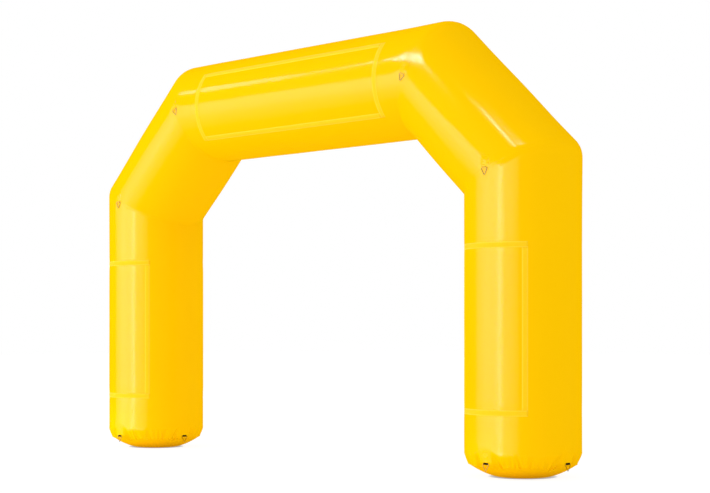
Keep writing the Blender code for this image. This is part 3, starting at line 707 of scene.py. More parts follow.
def round_cut(columns: int, radius: float) -> Grid:
    """Distance round a tube to each of its columns, and back to the first."""
    return np.arange(columns + 1) * (2 * math.pi * radius / columns)


def run_along(points: Grid) -> Grid:
    """Distance from the first of a line of points to each of them."""
    return np.concatenate([[0.0], np.cumsum(np.linalg.norm(np.diff(points, axis=0), axis=1))])


def mirrored(half: Sequence[Pair]) -> list[Pair]:
    """Profile whose second half repeats the first beyond its last point, which is the middle."""
    return [*half, *((2 * half[-1][0] - place, height) for place, height in half[-2::-1])]


def round_angles(sides: int) -> Grid:
    """Angles of the points round a tube."""
    return np.arange(sides) * (2 * math.pi / sides)


def smooth_step(values: Grid, start: float, end: float) -> Grid:
    """Share that eases from 0 at start to 1 at end."""
    share = np.clip((values - start) / (end - start), 0.0, 1.0)
    return share * share * (3 - 2 * share)


def carried(points: Grid, matrix: Matrix) -> Grid:
    """Points moved by a matrix."""
    rows = np.array(matrix)
    return points @ rows[:3, :3].T + rows[:3, 3]


def wander(points: Grid, pitch: float, seed: float) -> Grid:
    """Smooth random number from about -1 to 1 at each point.

    Args:
        points: Points in metres.
        pitch: Distance over which the number changes.
        seed: Shifts the pattern.

    Returns:
        The numbers, in the points' own arrangement.
    """
    shift = Vector((seed, 1.7 * seed, -0.6 * seed))
    values = [noise.noise(Vector(spot) + shift) for spot in points.reshape(-1, 3) / pitch]
    return np.array(values).reshape(points.shape[:-1])


# The inflated skin


@dataclass(frozen=True)
class Mitre:
    """Corner where two tube sections meet, rounded outside by the air pressure and creased inside.

    It has the headings before and after it, the extra radius a third of the way up the front and the
    rear, and the height of the swelling on its outside.
    """

    x: float
    z: float
    before: float
    after: float
    ease: float
    swell: float

    @property
    def centre(self) -> Grid:
        """Corner of the centrelines."""
        return np.array([self.x, 0.0, self.z])

    @property
    def half_turn(self) -> float:
        """Half of the angle that the arch turns by."""
        return (self.before - self.after) / 2

    @property
    def along(self) -> Grid:
        """Direction straight across the seam."""
        middle = (self.before + self.after) / 2
        return np.array([math.cos(middle), 0.0, math.sin(middle)])

    @property
    def outward(self) -> Grid:
        """Direction from the inside of the corner to its outside."""
        return np.array([-self.along[2], 0.0, self.along[0]])

    def bend_radius(self, angles: Grid) -> Grid:
        """Radius of the bend.

        Args:
            angles: Angles round the tube, from the front towards the outside of the arch.

        Returns:
            The radius at each angle.
        """
        lift = np.clip(np.sin(angles), 0.0, None)
        ease = self.ease * np.sin(math.pi * np.clip(lift / ARCH.corner_ease_top, 0.0, 1.0)) ** 2
        return ARCH.inner_corner_radius + (ARCH.outer_corner_radius - ARCH.inner_corner_radius) * lift + ease

    def line(self, angles: Grid, swing: Grid) -> Line:
        """Line of points round the tube, somewhere on the bend.

        Args:
            angles: Angles round the tube, from the front towards the outside of the arch.
            swing: How far each point has turned from the seam.

        Returns:
            The points and the directions out of the skin.
        """
        lift = np.sin(angles)[:, None]
        radius = self.bend_radius(angles)[:, None]
        hub = self.centre + self.outward * ((ARCH.tube_radius * lift - radius) / math.cos(self.half_turn))
        turn = np.broadcast_to(swing, angles.shape)[:, None]
        lean = self.outward * np.cos(turn) + self.along * np.sin(turn)
        front = np.array([0.0, -1.0, 0.0]) * np.cos(angles)[:, None]
        return hub + lean * radius + front * ARCH.tube_radius, front + lean * lift


RISE = ARCH.shoulder_heading
MITRES = {
    "left_lower": Mitre(-ARCH.leg_x, ARCH.lower_mitre_z, math.pi / 2, RISE, 0.1, 0.004),
    "left_upper": Mitre(-ARCH.upper_mitre_x, ARCH.beam_z, RISE, 0.0, 0.3, -0.002),
    "right_upper": Mitre(ARCH.upper_mitre_x, ARCH.beam_z, 0.0, -RISE, 0.5, 0.006),
    "right_lower": Mitre(ARCH.leg_x, ARCH.lower_mitre_z, -RISE, -math.pi / 2, 0.12, 0.006),
}


@dataclass(frozen=True)
class PatchFlat:
    """Where the flat that a stiff patch makes in the skin fades, beside, above and below its anchor."""

    beside: Pair = (0.052, 0.1)
    above: Pair = (0.11, 0.17)
    below: Pair = (-0.12, -0.06)
    below_at_foot: Pair = (-0.034, 0.012)
    reach: float = 0.06


PATCH_FLAT = PatchFlat()


@dataclass(frozen=True)
class Anchor:
    """Place where a ring's webbing is welded to the skin.

    Its own X runs along the ring's bar, its Z up the webbing and its -Y away from the tube.
    """

    name: str
    matrix: Matrix
    lean: float
    at_foot: bool

    @property
    def hanging(self) -> Anchor:
        """The same place turned so that its Z is plumb, as the ring hangs."""
        return Anchor(self.name, self.matrix @ Matrix.Rotation(-self.lean, 4, "X"), 0.0, self.at_foot)

    def local(self, points: Grid) -> Grid:
        """Points in the anchor's own coordinates."""
        return carried(points, self.matrix.inverted())

    def world(self, points: Grid) -> Grid:
        """Points in the frame's coordinates."""
        return carried(points, self.matrix)

    def settle(self, points: Grid) -> Grid:
        """Draws the skin to the flat that the stiff patch makes.

        Args:
            points: Points of the skin.

        Returns:
            The points with those near the anchor moved.
        """
        spots = self.local(points)
        across, depth, up = (spots[..., k] for k in range(3))
        below = PATCH_FLAT.below_at_foot if self.at_foot else PATCH_FLAT.below
        window = (1 - smooth_step(np.abs(across), *PATCH_FLAT.beside)) * (1 - smooth_step(up, *PATCH_FLAT.above))
        change = np.where(np.abs(depth - ARCH.bar_standoff) < PATCH_FLAT.reach, ARCH.bar_standoff - depth, 0.0)
        if not self.at_foot:
            change = np.clip(change, 0.0, None)
        spots[..., 1] += window * smooth_step(up, *below) * change
        return self.world(spots)


def make_anchors() -> list[Anchor]:
    """Places the anchors of the sixteen rings.

    Returns:
        The anchors, in the frame's order.
    """
    reach = Matrix.Translation((0, -(ARCH.flat_radius + ARCH.bar_standoff), 0))
    seat = Matrix.Translation((0, -ARCH.base_bar_reach, 0)) @ Matrix.Rotation(ARCH.base_tab_lean, 4, "X")
    anchors = []
    for name, mitre in MITRES.items():
        lean = math.atan2(mitre.outward[0], mitre.outward[2]) if name.endswith("upper") else 0.0
        for turn, facing in ((0.0, "front"), (math.pi, "rear")):
            swing = Matrix.Rotation(lean, 4, "Y") @ Matrix.Rotation(turn, 4, "Z")
            spot = Matrix.Translation(Vector(mitre.centre))
            anchors.append(Anchor(f"{name}_{facing}", spot @ swing @ reach, 0.0, False))
    for side, leg in ((-1, "left"), (1, "right")):
        turns = {"front": 0.0, "outer": side * math.pi / 2, "rear": math.pi, "inner": -side * math.pi / 2}
        for facing, turn in turns.items():
            spot = Matrix.Translation((side * ARCH.leg_x, 0, ARCH.base_ring_height)) @ Matrix.Rotation(turn, 4, "Z")
            anchors.append(Anchor(f"{leg}_base_{facing}", spot @ seat, ARCH.base_tab_lean, True))
    return anchors


ANCHORS = make_anchors()


@dataclass(frozen=True)
class Strip:
    """One strip of a banner frame: where it starts and ends round the tube and along it."""

    label: str
    level: bool
    low_angle: float
    high_angle: float
    near: float
    far: float


@dataclass(frozen=True)
class FrameSizes:
    """Sizes of the hook-and-loop frames."""

    tape_width: float = LOOP_TAPE.tape_width
    beam_half_wrap: float = 0.734
    leg_half_wrap: float = 0.775
    beam_half_length: float = 1.27
    leg_bottom: float = 0.535
    leg_top: float = 1.978
    butt_gap: float = 0.0012

    def extent(self, section: Section) -> Spot:
        """Place of a section's frame.

        Args:
            section: The section that carries it.

        Returns:
            Half its angle round the tube, then its start and its end along the tube.
        """
        if section is Section.BEAM:
            return self.beam_half_wrap, -self.beam_half_length, self.beam_half_length
        return self.leg_half_wrap, self.leg_bottom, self.leg_top

    def strips(self, section: Section) -> list[Strip]:
        """Lays out a section's frame.

        Args:
            section: The section that carries it.

        Returns:
            Its four strips, with angles from the middle of the frame.
        """
        wrap, near, far = self.extent(section)
        tape, turn = self.tape_width, self.tape_width / ARCH.tube_radius
        between = (near + tape + self.butt_gap, far - tape - self.butt_gap)
        beam = section is Section.BEAM
        labels = ("left_end", "right_end", "bottom", "top") if beam else ("bottom", "top", "inner", "outer")
        spans = (
            (True, -wrap, wrap, near, near + tape),
            (True, -wrap, wrap, far - tape, far),
            (False, -wrap, -wrap + turn, *between),
            (False, wrap - turn, wrap, *between),
        )
        return [Strip(label, *span) for label, span in zip(labels, spans)]


FRAMES = FrameSizes()


@dataclass(frozen=True)
class Pleats:
    """Puckers where the round tube is gathered into the smaller base seam.

    Each pleat draws its shift in pitches, its slant, and its share of the depth, width and reach, and
    each gather beside a ring tab its share of the depth and width.
    """

    count: int = 70
    depth: float = 0.03
    half_width: float = 0.013
    lowest: tuple[float, ...] = (-0.35, -0.5, 0.2, 0.8, 0.5)
    highest: tuple[float, ...] = (0.35, 0.5, 1.0, 1.7, 1.3)
    reach_above: float = 0.085
    reach_below: float = 0.055
    sharpness: float = 1.6
    gathers: tuple[float, ...] = (-0.29, -0.21, -0.14, 0.14, 0.21, 0.29)
    gather_depth: float = 0.034
    gather_width: float = 0.018
    gather_lowest: Pair = (0.7, 0.8)
    gather_highest: Pair = (1.3, 1.4)
    gather_reach: float = 1.2
    gather_closing: float = 3.5
    gather_spreading: float = 2.0
    mean_depth: float = 0.009
    calm_radius: float = 0.22
    calm_start: float = 0.6
    tab_angles: Pair = (0.06, 0.14)
    tab_share: float = 0.25
    seed: int = 11

    def fold(self, angles: Grid, middle: float, half_width: float) -> Grid:
        """Cross-section of one fold round the foot, 1 at its bottom."""
        gap = (angles - middle + math.pi) % (2 * math.pi) - math.pi
        return np.exp(-np.abs(gap * ARCH.base_seam_radius / half_width) ** self.sharpness)

    def depth_at(self, angles: Grid, fall: float, above: bool, seed: int) -> Grid:
        """How far the skin is drawn in.

        Args:
            angles: Angles round the foot.
            fall: Distance from the base seam.
            above: Whether the place is on the leg and not on the disc.
            seed: Which foot it is.

        Returns:
            The depths.
        """
        chance = np.random.default_rng(seed)
        total = np.zeros_like(angles)
        reach = self.reach_above if above else self.reach_below
        for k in range(self.count):
            shift, slant, size, width, length = chance.uniform(self.lowest, self.highest)
            middle = 2 * math.pi / self.count * (k + shift) + slant * fall
            fade = math.exp(-((fall / (reach * length)) ** 2))
            total += size * self.depth * fade * self.fold(angles, middle, self.half_width * width)
        fade = math.exp(-((fall / (self.gather_reach * reach)) ** 2))
        opening = 1 - self.gather_closing * fall if above else 1 + self.gather_spreading * fall
        for tab in range(4):
            for offset in self.gathers:
                size, width = chance.uniform(self.gather_lowest, self.gather_highest)
                fold = self.fold(angles, tab * math.pi / 2 + offset * opening, self.gather_width * width)
                total += size * self.gather_depth * fade * fold
        return total

    def ruffle(self, angles: Grid, radius: float, z: float, side: int) -> Grid:
        """How far the pleats push the skin out, or draw it in where it is negative.

        Args:
            angles: Angles round the foot.
            radius: Radius of the smooth foot at the place.
            z: Height of the place.
            side: -1 for the left foot and 1 for the right.

        Returns:
            The distances, which die away towards the straight tube, the floor and the ring tabs.
        """
        above = radius >= ARCH.base_seam_radius
        fall = z - ARCH.base_seam_height if above else ARCH.base_seam_radius - radius
        span = ARCH.foot_curve_height - ARCH.base_seam_height if above else ARCH.base_seam_radius - self.calm_radius
        rest = 1 - float(smooth_step(np.array(fall), self.calm_start * span, span))
        from_tabs = [np.abs((angles - k * math.pi / 2 + math.pi) % (2 * math.pi) - math.pi) for k in range(5)]
        free = smooth_step(np.min(from_tabs, axis=0), *self.tab_angles)
        shares = rest * (self.tab_share + (1 - self.tab_share) * free)
        return (self.mean_depth - self.depth_at(angles, fall, above, self.seed + side)) * shares


PLEATS = Pleats()
VALVE_SPOT = np.array([ARCH.leg_x, ARCH.flat_radius, 0.3885])


@dataclass(frozen=True)
class SkinShape:
    """Shape of a section's inflated skin: the ideal tube with its strips, anchors, valve and swellings."""

    section: Section
    unevenness: float = 0.0009
    uneven_pitch: float = 0.42
    uneven_seed: float = 3.1
    groove_depth: float = 0.0026
    groove_width: float = 0.05
    groove_fade: float = 0.25
    shoulder_swell: float = 0.006
    corner_width: float = 0.3
    corner_reach: float = 0.9
    valve_flat: Pair = (0.045, 0.11)
    valve_side: float = 0.3

    def groove(self, points: Grid, radial: Grid) -> Grid:
        """Depth by which the level strips of the banner frames draw the skin in.

        Args:
            points: Points on the ideal tube.
            radial: Directions out of the skin at the points.

        Returns:
            The depths.
        """
        total = np.zeros(points.shape[:-1])
        if self.section.slants:
            return total
        along = points[..., 0] if self.section is Section.BEAM else points[..., 2]
        wrap = np.arccos(np.clip(np.abs(radial[..., 1]), 0.0, 1.0))
        half_wrap = FRAMES.extent(self.section)[0]
        window = 1 - smooth_step(wrap, half_wrap - self.groove_width, half_wrap + self.groove_fade)
        for strip in FRAMES.strips(self.section)[:2]:
            total += np.exp(-(((along - (strip.near + strip.far) / 2) / self.groove_width) ** 2))
        return self.groove_depth * total * window

    def bulge(self, points: Grid) -> Grid:
        """Height of the swelling between the mitres of a shoulder, and 0 on the other sections.

        Args:
            points: Points on the ideal tube.

        Returns:
            The heights.
        """
        if not self.section.slants:
            return np.zeros(points.shape[:-1])
        across, rise = ARCH.leg_x - ARCH.upper_mitre_x, ARCH.beam_z - ARCH.lower_mitre_z
        inward = (ARCH.leg_x - self.section.side * points[..., 0]) * across
        ahead = inward + (points[..., 2] - ARCH.lower_mitre_z) * rise
        share = np.clip(ahead / (across**2 + rise**2), 0.0, 1.0)
        return self.shoulder_swell * np.sin(math.pi * share) ** 2

    def corner_bulge(self, points: Grid, radial: Grid) -> Grid:
        """Height of the swelling on the outside of the corners.

        Args:
            points: Points on the ideal tube.
            radial: Directions out of the skin at the points.

        Returns:
            The heights.
        """
        total = np.zeros(points.shape[:-1])
        for mitre in MITRES.values():
            offset = points - mitre.centre
            near = np.linalg.norm(offset, axis=-1) < self.corner_reach
            fade = near * np.exp(-(((offset @ mitre.along) / self.corner_width) ** 2))
            total += mitre.swell * fade * np.clip(radial @ mitre.outward, 0.0, None)
        return total

    def shape(self, points: Grid, radial: Grid) -> Grid:
        """Moves points of the ideal tube to where the real skin is.

        Args:
            points: Points on the ideal tube.
            radial: Directions out of the skin at the points.

        Returns:
            The moved points.
        """
        swell = self.unevenness * wander(points, self.uneven_pitch, self.uneven_seed) - self.groove(points, radial)
        swell = swell + self.bulge(points) + self.corner_bulge(points, radial)
        moved = points + radial * swell[..., None]
        for anchor in ANCHORS:
            moved = anchor.settle(moved)
        if self.section is Section.RIGHT_LEG:
            beyond = np.hypot(moved[..., 0] - VALVE_SPOT[0], moved[..., 2] - VALVE_SPOT[2])
            window = (1 - smooth_step(beyond, *self.valve_flat)) * (moved[..., 1] > self.valve_side)
            moved[..., 1] += window * (VALVE_SPOT[1] - moved[..., 1])
        return moved

    def laid(self, angles: Grid, along: Grid, height: Grid) -> Grid:
        """Points at a height above the real skin, round a leg or the beam.

        Args:
            angles: Angles from the front towards the outside of the arch.
            along: Height on a leg, or place along the beam.
            height: Height above the skin.

        Returns:
            The points.
        """
        nought, side = np.zeros_like(angles), self.section.side
        if self.section is Section.BEAM:
            radial = np.stack([nought, -np.cos(angles), np.sin(angles)], axis=-1)
            centre = np.stack([along, nought, nought + ARCH.beam_z], axis=-1)
        else:
            radial = np.stack([side * np.sin(angles), -np.cos(angles), nought], axis=-1)
            centre = np.stack([nought + side * ARCH.leg_x, nought, along], axis=-1)
        return self.shape(centre + radial * ARCH.tube_radius, radial) + radial * height[..., None]


@dataclass
class Envelope:
    """The airtight envelope: five tube sections, two dished base discs and the welds between them."""

    wardrobe: Wardrobe
    leg_sides: int = 480
    span_sides: int = 160
    station_pitch: float = 0.025
    bend_steps: int = 14
    foot_steps: int = 26
    foot_crowding: float = 1.25
    disc_steps: int = 22
    disc_middle: Spot = (0.15, 0.08, 0.01)
    pleat_rise: float = 0.4
    valve_hole: float = 0.034
    weld_half_width: float = 0.012
    weld_profile: tuple[Pair, ...] = ((-1.0, -0.0003), (-0.7, 0.00018), (-0.35, 0.00034), (0.0, 0.0004))
    bead_radius: float = 0.0026
    bead_drop: float = 1.5
    bead_steps: int = 8

    def bend(self, mitre: Mitre, angles: Grid, sign: int) -> list[Line]:
        """Lines from the seam to where the bend ends, before the seam (-1) or after it (1)."""
        shares = np.linspace(0.0, 1.0, self.bend_steps + 1)
        return [mitre.line(angles, np.full_like(angles, sign * share * mitre.half_turn)) for share in shares]

    def straight(self, start: Line, end: Line) -> list[Line]:
        """Lines between two ends of bends, both left out.

        Args:
            start: Last line of the bend before.
            end: First line of the bend after.

        Returns:
            The lines.
        """
        length = np.linalg.norm(end[0] - start[0], axis=1).max()
        steps = max(2, round(length / self.station_pitch))
        shares = [step / steps for step in range(1, steps)]
        return [(start[0] * (1 - share) + end[0] * share, start[1]) for share in shares]

    def foot_line(self, side: int, angles: Grid, radius: float, z: float) -> Line:
        """Pleated line round a foot.

        Args:
            side: -1 for the left foot and 1 for the right.
            angles: Angles round the foot, from the front towards the outside of the arch.
            radius: Radius without the pleats.
            z: Height without the pleats.

        Returns:
            The points and the directions out of the skin.
        """
        ruffle = PLEATS.ruffle(angles, radius, z, side)
        radial = np.stack([side * np.sin(angles), -np.cos(angles), np.zeros_like(angles)], axis=1)
        height = z + np.clip(self.pleat_rise * ruffle, -z, None)
        centre = np.stack([np.full_like(angles, side * ARCH.leg_x), np.zeros_like(angles), height], axis=1)
        return centre + radial * (radius + ruffle)[:, None], radial

    def foot_lines(self, side: int, angles: Grid) -> list[Line]:
        """Lines of a foot from the base seam up to where the tube runs straight.

        Args:
            side: -1 for the left leg and 1 for the right leg.
            angles: Angles round the tube.

        Returns:
            The points and outward directions of each line.
        """
        rise = ARCH.foot_curve_height - ARCH.base_seam_height
        shares = np.linspace(0.0, 1.0, self.foot_steps + 1) ** self.foot_crowding
        places = [(ARCH.foot_radius(share), ARCH.base_seam_height + rise * share) for share in shares]
        return [self.foot_line(side, angles, *place) for place in places]

    def disc_lines(self, side: int, angles: Grid) -> list[Line]:
        """Lines of a dished disc from the base seam in to its middle.

        Args:
            side: -1 for the left leg and 1 for the right leg.
            angles: Angles round the disc.

        Returns:
            The points and outward directions of each line.
        """
        flat, rise = ARCH.floor_patch_radius, ARCH.base_seam_height
        width, shares = ARCH.base_seam_radius - flat, np.linspace(1.0, 0.0, self.disc_steps + 1)
        places = [(flat + width * share, rise * share**ARCH.dish_power) for share in shares]
        places += [(radius, 0.0) for radius in self.disc_middle]
        return [self.foot_line(side, angles, *place) for place in places]

    def skin(self, section: Section, lines: Sequence[Line], name: str, stands_for: str) -> None:
        """Adds the skin through lines of points.

        Args:
            section: Section that the skin belongs to.
            lines: Points and outward directions of each line, along the tube.
            name: Name of the piece.
            stands_for: The frame's node that it replaces.
        """
        points, radial = (np.array([line[k] for line in lines]) for k in (0, 1))
        points = SkinShape(section).shape(points, radial)
        cut = flat_cut(round_cut(points.shape[1], ARCH.tube_radius), run_along(points[:, 0]))
        mesh = grid_mesh(name, points, cut, True)
        if stands_for == "right_leg_tube":
            self.open_for_valve(mesh)
        self.wardrobe.add_piece(mesh, FABRIC, "vinyl_skin", ROOT_BODY, stands_for)
        log.info("%s: %d faces", name, len(mesh.polygons))

    def open_for_valve(self, mesh: bpy.types.Mesh) -> None:
        """Takes out the faces behind the valve's patch.

        Args:
            mesh: The skin of the leg with the valve.
        """
        bm = bmesh.new()
        bm.from_mesh(mesh)
        spot = Vector(VALVE_SPOT)
        doomed = [face for face in bm.faces if any((vert.co - spot).length < self.valve_hole for vert in face.verts)]
        bmesh.ops.delete(bm, geom=doomed, context="FACES")
        bm.to_mesh(mesh)
        bm.free()

    def build_legs(self) -> None:
        """Builds both legs with their base discs and base welds."""
        angles = round_angles(self.leg_sides)
        for section in (Section.LEFT_LEG, Section.RIGHT_LEG):
            side, label = section.side, section.value.split("_")[0]
            foot = self.foot_lines(side, angles)
            bend = self.bend(MITRES[f"{label}_lower"], angles, side)[::-1]
            lines = foot + self.straight(foot[-1], bend[0]) + bend
            self.skin(section, lines[::-side], f"{label}_leg_skin", f"{label}_leg_tube")
            disc = self.disc_lines(side, angles)
            self.skin(section, disc[::side], f"{label}_base_disc_skin", f"{label}_base_disc")
            self.build_bead(section, angles, label)

    def build_spans(self) -> None:
        """Builds the shoulders and the beam."""
        angles = round_angles(self.span_sides)
        mitres = list(MITRES.values())
        spans = (Section.LEFT_SHOULDER, Section.BEAM, Section.RIGHT_SHOULDER)
        for section, before, after in zip(spans, mitres, mitres[1:]):
            start, end = self.bend(before, angles, 1), self.bend(after, angles, -1)[::-1]
            lines = start + self.straight(start[-1], end[0]) + end
            self.skin(section, lines, f"{section.value}_skin", f"{section.value}_tube")

    def build_mitre_welds(self) -> None:
        """Builds the flat welds over the mitre seams."""
        angles = round_angles(self.leg_sides)
        half = self.weld_half_width
        profile = [(share * half, height) for share, height in mirrored(self.weld_profile)]
        cut = flat_cut(round_cut(len(angles), ARCH.tube_radius), [distance + half for distance, _ in profile])
        shoulder = SkinShape(Section.LEFT_SHOULDER)
        for name, mitre in MITRES.items():
            rows = []
            for distance, height in profile:
                points, radial = mitre.line(angles, distance / mitre.bend_radius(angles))
                rows.append(shoulder.shape(points, radial) + radial * height)
            mesh = grid_mesh(f"{name}_mitre_weld", np.array(rows), cut, True)
            self.wardrobe.add_piece(mesh, FABRIC, "seam_tape", ROOT_BODY, f"{name}_seam_tape")

    def build_bead(self, section: Section, angles: Grid, label: str) -> None:
        """Builds the raised weld round a base seam.

        Args:
            section: The leg.
            angles: Angles round it.
            label: Which leg it is, for the name.
        """
        middle, radial = self.foot_line(section.side, angles, ARCH.base_seam_radius, ARCH.base_seam_height)
        middle = SkinShape(section).shape(middle, radial)
        down = np.array([0.0, 0.0, -self.bead_radius * self.bead_drop])
        turns = np.linspace(0.0, 2 * math.pi, self.bead_steps + 1)
        rows = [middle + radial * math.cos(turn) * self.bead_radius + down * math.sin(turn) for turn in turns]
        cut = flat_cut(round_cut(len(angles), ARCH.base_seam_radius), turns * self.bead_radius)
        mesh = grid_mesh(f"{label}_base_weld", np.array(rows[:: -section.side]), cut, True)
        self.wardrobe.add_piece(mesh, FABRIC, "seam_tape", ROOT_BODY, f"{label}_base_seam_tape")

    def build(self) -> None:
        """Builds the whole envelope."""
        self.build_legs()
        self.build_spans()
        self.build_mitre_welds()


# The banner frames


@dataclass
class BannerFrames:
    """Bare hook-and-loop frames, each of two level strips with two strips between them.

    The profile has the place across the tape and the height above the skin of each point, up to the
    middle of the tape: a woven edge, the step up to the pile and the pile.
    """

    wardrobe: Wardrobe
    pitch: float = 0.02
    end_lip: float = 0.0004
    tuck: float = -0.0006
    profile: tuple[Pair, ...] = (
        (0.0, -0.0006), (0.0003, 0.0007), (0.001, 0.0011), (0.0086, 0.0012),
        (0.0092, 0.0017), (0.01, 0.002), (0.018, 0.00205), (0.025, 0.0021),
    )

    def strip_mesh(self, name: str, section: Section, facing: Facing, strip: Strip) -> bpy.types.Mesh:
        """Mesh of one strip, with its flat woven edges and its raised pile.

        Args:
            name: Name of the mesh.
            section: Section that carries the frame.
            facing: Side of the arch that the frame is on.
            strip: The strip.

        Returns:
            The mesh.
        """
        across, lift = np.array(mirrored(self.profile)).T
        wrap = (strip.high_angle - strip.low_angle) * ARCH.tube_radius
        length = wrap if strip.level else strip.far - strip.near
        run = np.linspace(0.0, length, round(length / self.pitch) + 1)
        run = np.concatenate([[0.0, self.end_lip], run[1:-1], [length - self.end_lip, length]])
        at_end = np.minimum(run, length - run) < self.end_lip / 2
        heights = np.where(at_end[:, None], self.tuck, lift[None, :])
        lengthwise, crosswise = np.meshgrid(run, across, indexing="ij")
        around, ahead = (lengthwise, crosswise) if strip.level else (crosswise, lengthwise)
        angles = strip.low_angle + around / ARCH.tube_radius
        if facing is Facing.REAR:
            angles = math.pi - angles
        rows = SkinShape(section).laid(angles, strip.near + ahead, heights)
        cut = flat_cut(across, run)
        if (section.side < 0) ^ (facing is Facing.REAR) ^ strip.level ^ (section is Section.BEAM):
            rows, cut = rows[::-1], cut[::-1]
        return grid_mesh(name, rows, cut, False)

    def build(self) -> None:
        """Builds the six frames."""
        for section in (Section.BEAM, Section.LEFT_LEG, Section.RIGHT_LEG):
            for facing in Facing:
                frame_name = f"{section.value}_{facing.name.lower()}"
                for strip in FRAMES.strips(section):
                    mesh = self.strip_mesh(f"{frame_name}_{strip.label}_strip", section, facing, strip)
                    self.wardrobe.add_piece(mesh, LOOP_TAPE, "loop_tape", ROOT_BODY, f"{frame_name}_banner_frame")
                log.info("%s banner frame: four strips", frame_name)


# Rings and their tabs


@dataclass
class RingTab:
    """A wire ring, its webbing loop and the patch welded over the webbing's tails."""

    wardrobe: Wardrobe
    anchor: Anchor
    webbing_width: float = 0.05
    webbing_thickness: float = 0.0015
    webbing_showing: float = 0.012
    webbing_tail: float = 0.08
    webbing_tuck: float = 0.03
    tail_gap: float = 0.0002
    closing: tuple[Pair, Pair] = ((0.9, 0.92), (1.5, 0.45))
    selvedge: float = 0.0004
    selvedge_shrink: float = 0.72
    fold_middle: Pair = (0.006, -0.0008)
    wire_radius: float = 0.00225
    bar_clearance: float = 0.0003
    side_clearance: float = 0.0005
    ring_height: float = 0.056
    bend_radius: float = 0.0055
    bend_steps: int = 8
    patch_thickness: float = 0.0009
    patch_border: float = 0.016
    patch_ramp: float = 0.004
    patch_corner: float = 0.016
    patch_tuck: float = -0.0006
    tail_ramp: Pair = (-0.001, 0.012)
    tail_end: Pair = (-0.03, 0.01)
    crumples: tuple[Spot, Spot] = ((0.016, 0.0, 0.0014), (0.006, 5.0, 0.0003))
    crumple_lift: float = 0.0006

    @property
    def name(self) -> str:
        """Start of the pieces' names."""
        return self.anchor.name

    def ring_path(self) -> Grid:
        """Centreline of the wire, with its three bends.

        Returns:
            Its points, in the anchor's own coordinates.
        """
        half, radius = self.webbing_width / 2 + self.side_clearance, self.bend_radius
        corners = np.array([(-half, -radius), (half, -radius), (0.0, radius - self.ring_height)])
        path = []
        for k, here in enumerate(corners):
            before, after = here - corners[k - 1], corners[(k + 1) % 3] - here
            start, end = math.atan2(before[0], -before[1]), math.atan2(after[0], -after[1])
            turn = (start - end) % (2 * math.pi)
            for angle in start - turn * np.arange(self.bend_steps + 1) / self.bend_steps:
                path.append(here + radius * np.array([math.cos(angle), math.sin(angle)]))
        return np.array([[x, 0.0, z] for x, z in path])

    def build_ring(self) -> None:
        """Builds the wire ring."""
        path = self.anchor.hanging.world(self.ring_path())
        curve = wire_curve(f"{self.name}_guy_ring", path, self.wire_radius, True)
        self.wardrobe.add_piece(curve, RING_WIRE, "ring_steel", f"{self.name}_ring", f"{self.name}_ring")

    def webbing_line(self) -> Grid:
        """Outline of the folded webbing.

        Returns:
            Distances up the tube and away from it, from the bar.
        """
        outer = self.wire_radius + self.bar_clearance + self.webbing_thickness
        front = 2 * self.webbing_thickness - outer
        reach = self.webbing_showing + self.webbing_tuck
        fold = [(outer * math.cos(turn), outer * math.sin(turn)) for turn in np.linspace(1.5, 0.5, 17) * math.pi]
        closing = [(outer * up, outer * away) for up, away in self.closing]
        flat = [(self.webbing_showing * 0.8, front), (reach, front)]
        return np.array([(reach, self.tail_gap - outer), *fold, *closing, *flat])

    def build_webbing(self) -> None:
        """Builds the webbing folded round the ring's bar."""
        half, lip = self.webbing_width / 2, self.selvedge
        middle = np.linspace(10 * lip - half, half - 10 * lip, 9)
        across = np.array([-half, lip - half, *middle, half - lip, half])
        shrink = np.where(np.abs(across) > half - lip / 2, self.selvedge_shrink, 1.0)
        centre = np.array(self.fold_middle)
        line, rows = self.webbing_line(), []
        for spot in line:
            offset = centre + (spot - centre) * shrink[:, None]
            rows.append(np.stack([across, -offset[:, 1], offset[:, 0]], axis=1))
        cut = flat_cut(across, run_along(line))
        mesh = grid_mesh(f"{self.name}_webbing", self.anchor.world(np.array(rows)), cut, False)
        colour, finish = ("black", BLACK_WEBBING) if self.anchor.at_foot else ("yellow", YELLOW_WEBBING)
        self.wardrobe.add_piece(mesh, finish, f"{colour}_webbing", ROOT_BODY, f"{self.name}_ring_tab")

    def from_axis(self, world: Grid) -> Grid:
        """Distance of points from the axis of the tube section that they lie over.

        Args:
            world: The points, in the frame's coordinates.

        Returns:
            The distances in the plane of the arch.
        """
        mitre = MITRES[self.name.rsplit("_", 1)[0]]
        offset = world - mitre.centre
        ahead, out = offset @ mitre.along, offset @ mitre.outward
        return np.abs(out * math.cos(mitre.half_turn) + np.abs(ahead) * math.sin(mitre.half_turn))

    def skin_depth(self, across: Grid, up: Grid) -> Grid:
        """Where the real skin is along the anchor's own Y.

        Args:
            across: Places on the patch along the bar.
            up: Places on the patch up from the bar.

        Returns:
            The depths.
        """
        spots = np.stack([across, np.full_like(across, ARCH.bar_standoff), up], axis=-1)
        world = self.anchor.world(spots)
        if self.anchor.at_foot:
            low, high = ARCH.base_seam_height, ARCH.foot_curve_height
            radius = ARCH.foot_radius((np.clip(world[..., 2], low, high) - low) / (high - low))
            skin = np.sqrt(radius**2 - across**2) - ARCH.base_bar_reach
            spots[..., 1] += (self.anchor.hanging.local(world)[..., 1] - skin) * math.cos(self.anchor.lean)
        else:
            reach = np.sqrt(ARCH.tube_radius**2 - self.from_axis(world) ** 2)
            spots[..., 1] = ARCH.flat_radius + ARCH.bar_standoff - reach
        return self.anchor.local(self.anchor.settle(self.anchor.world(spots)))[..., 1]

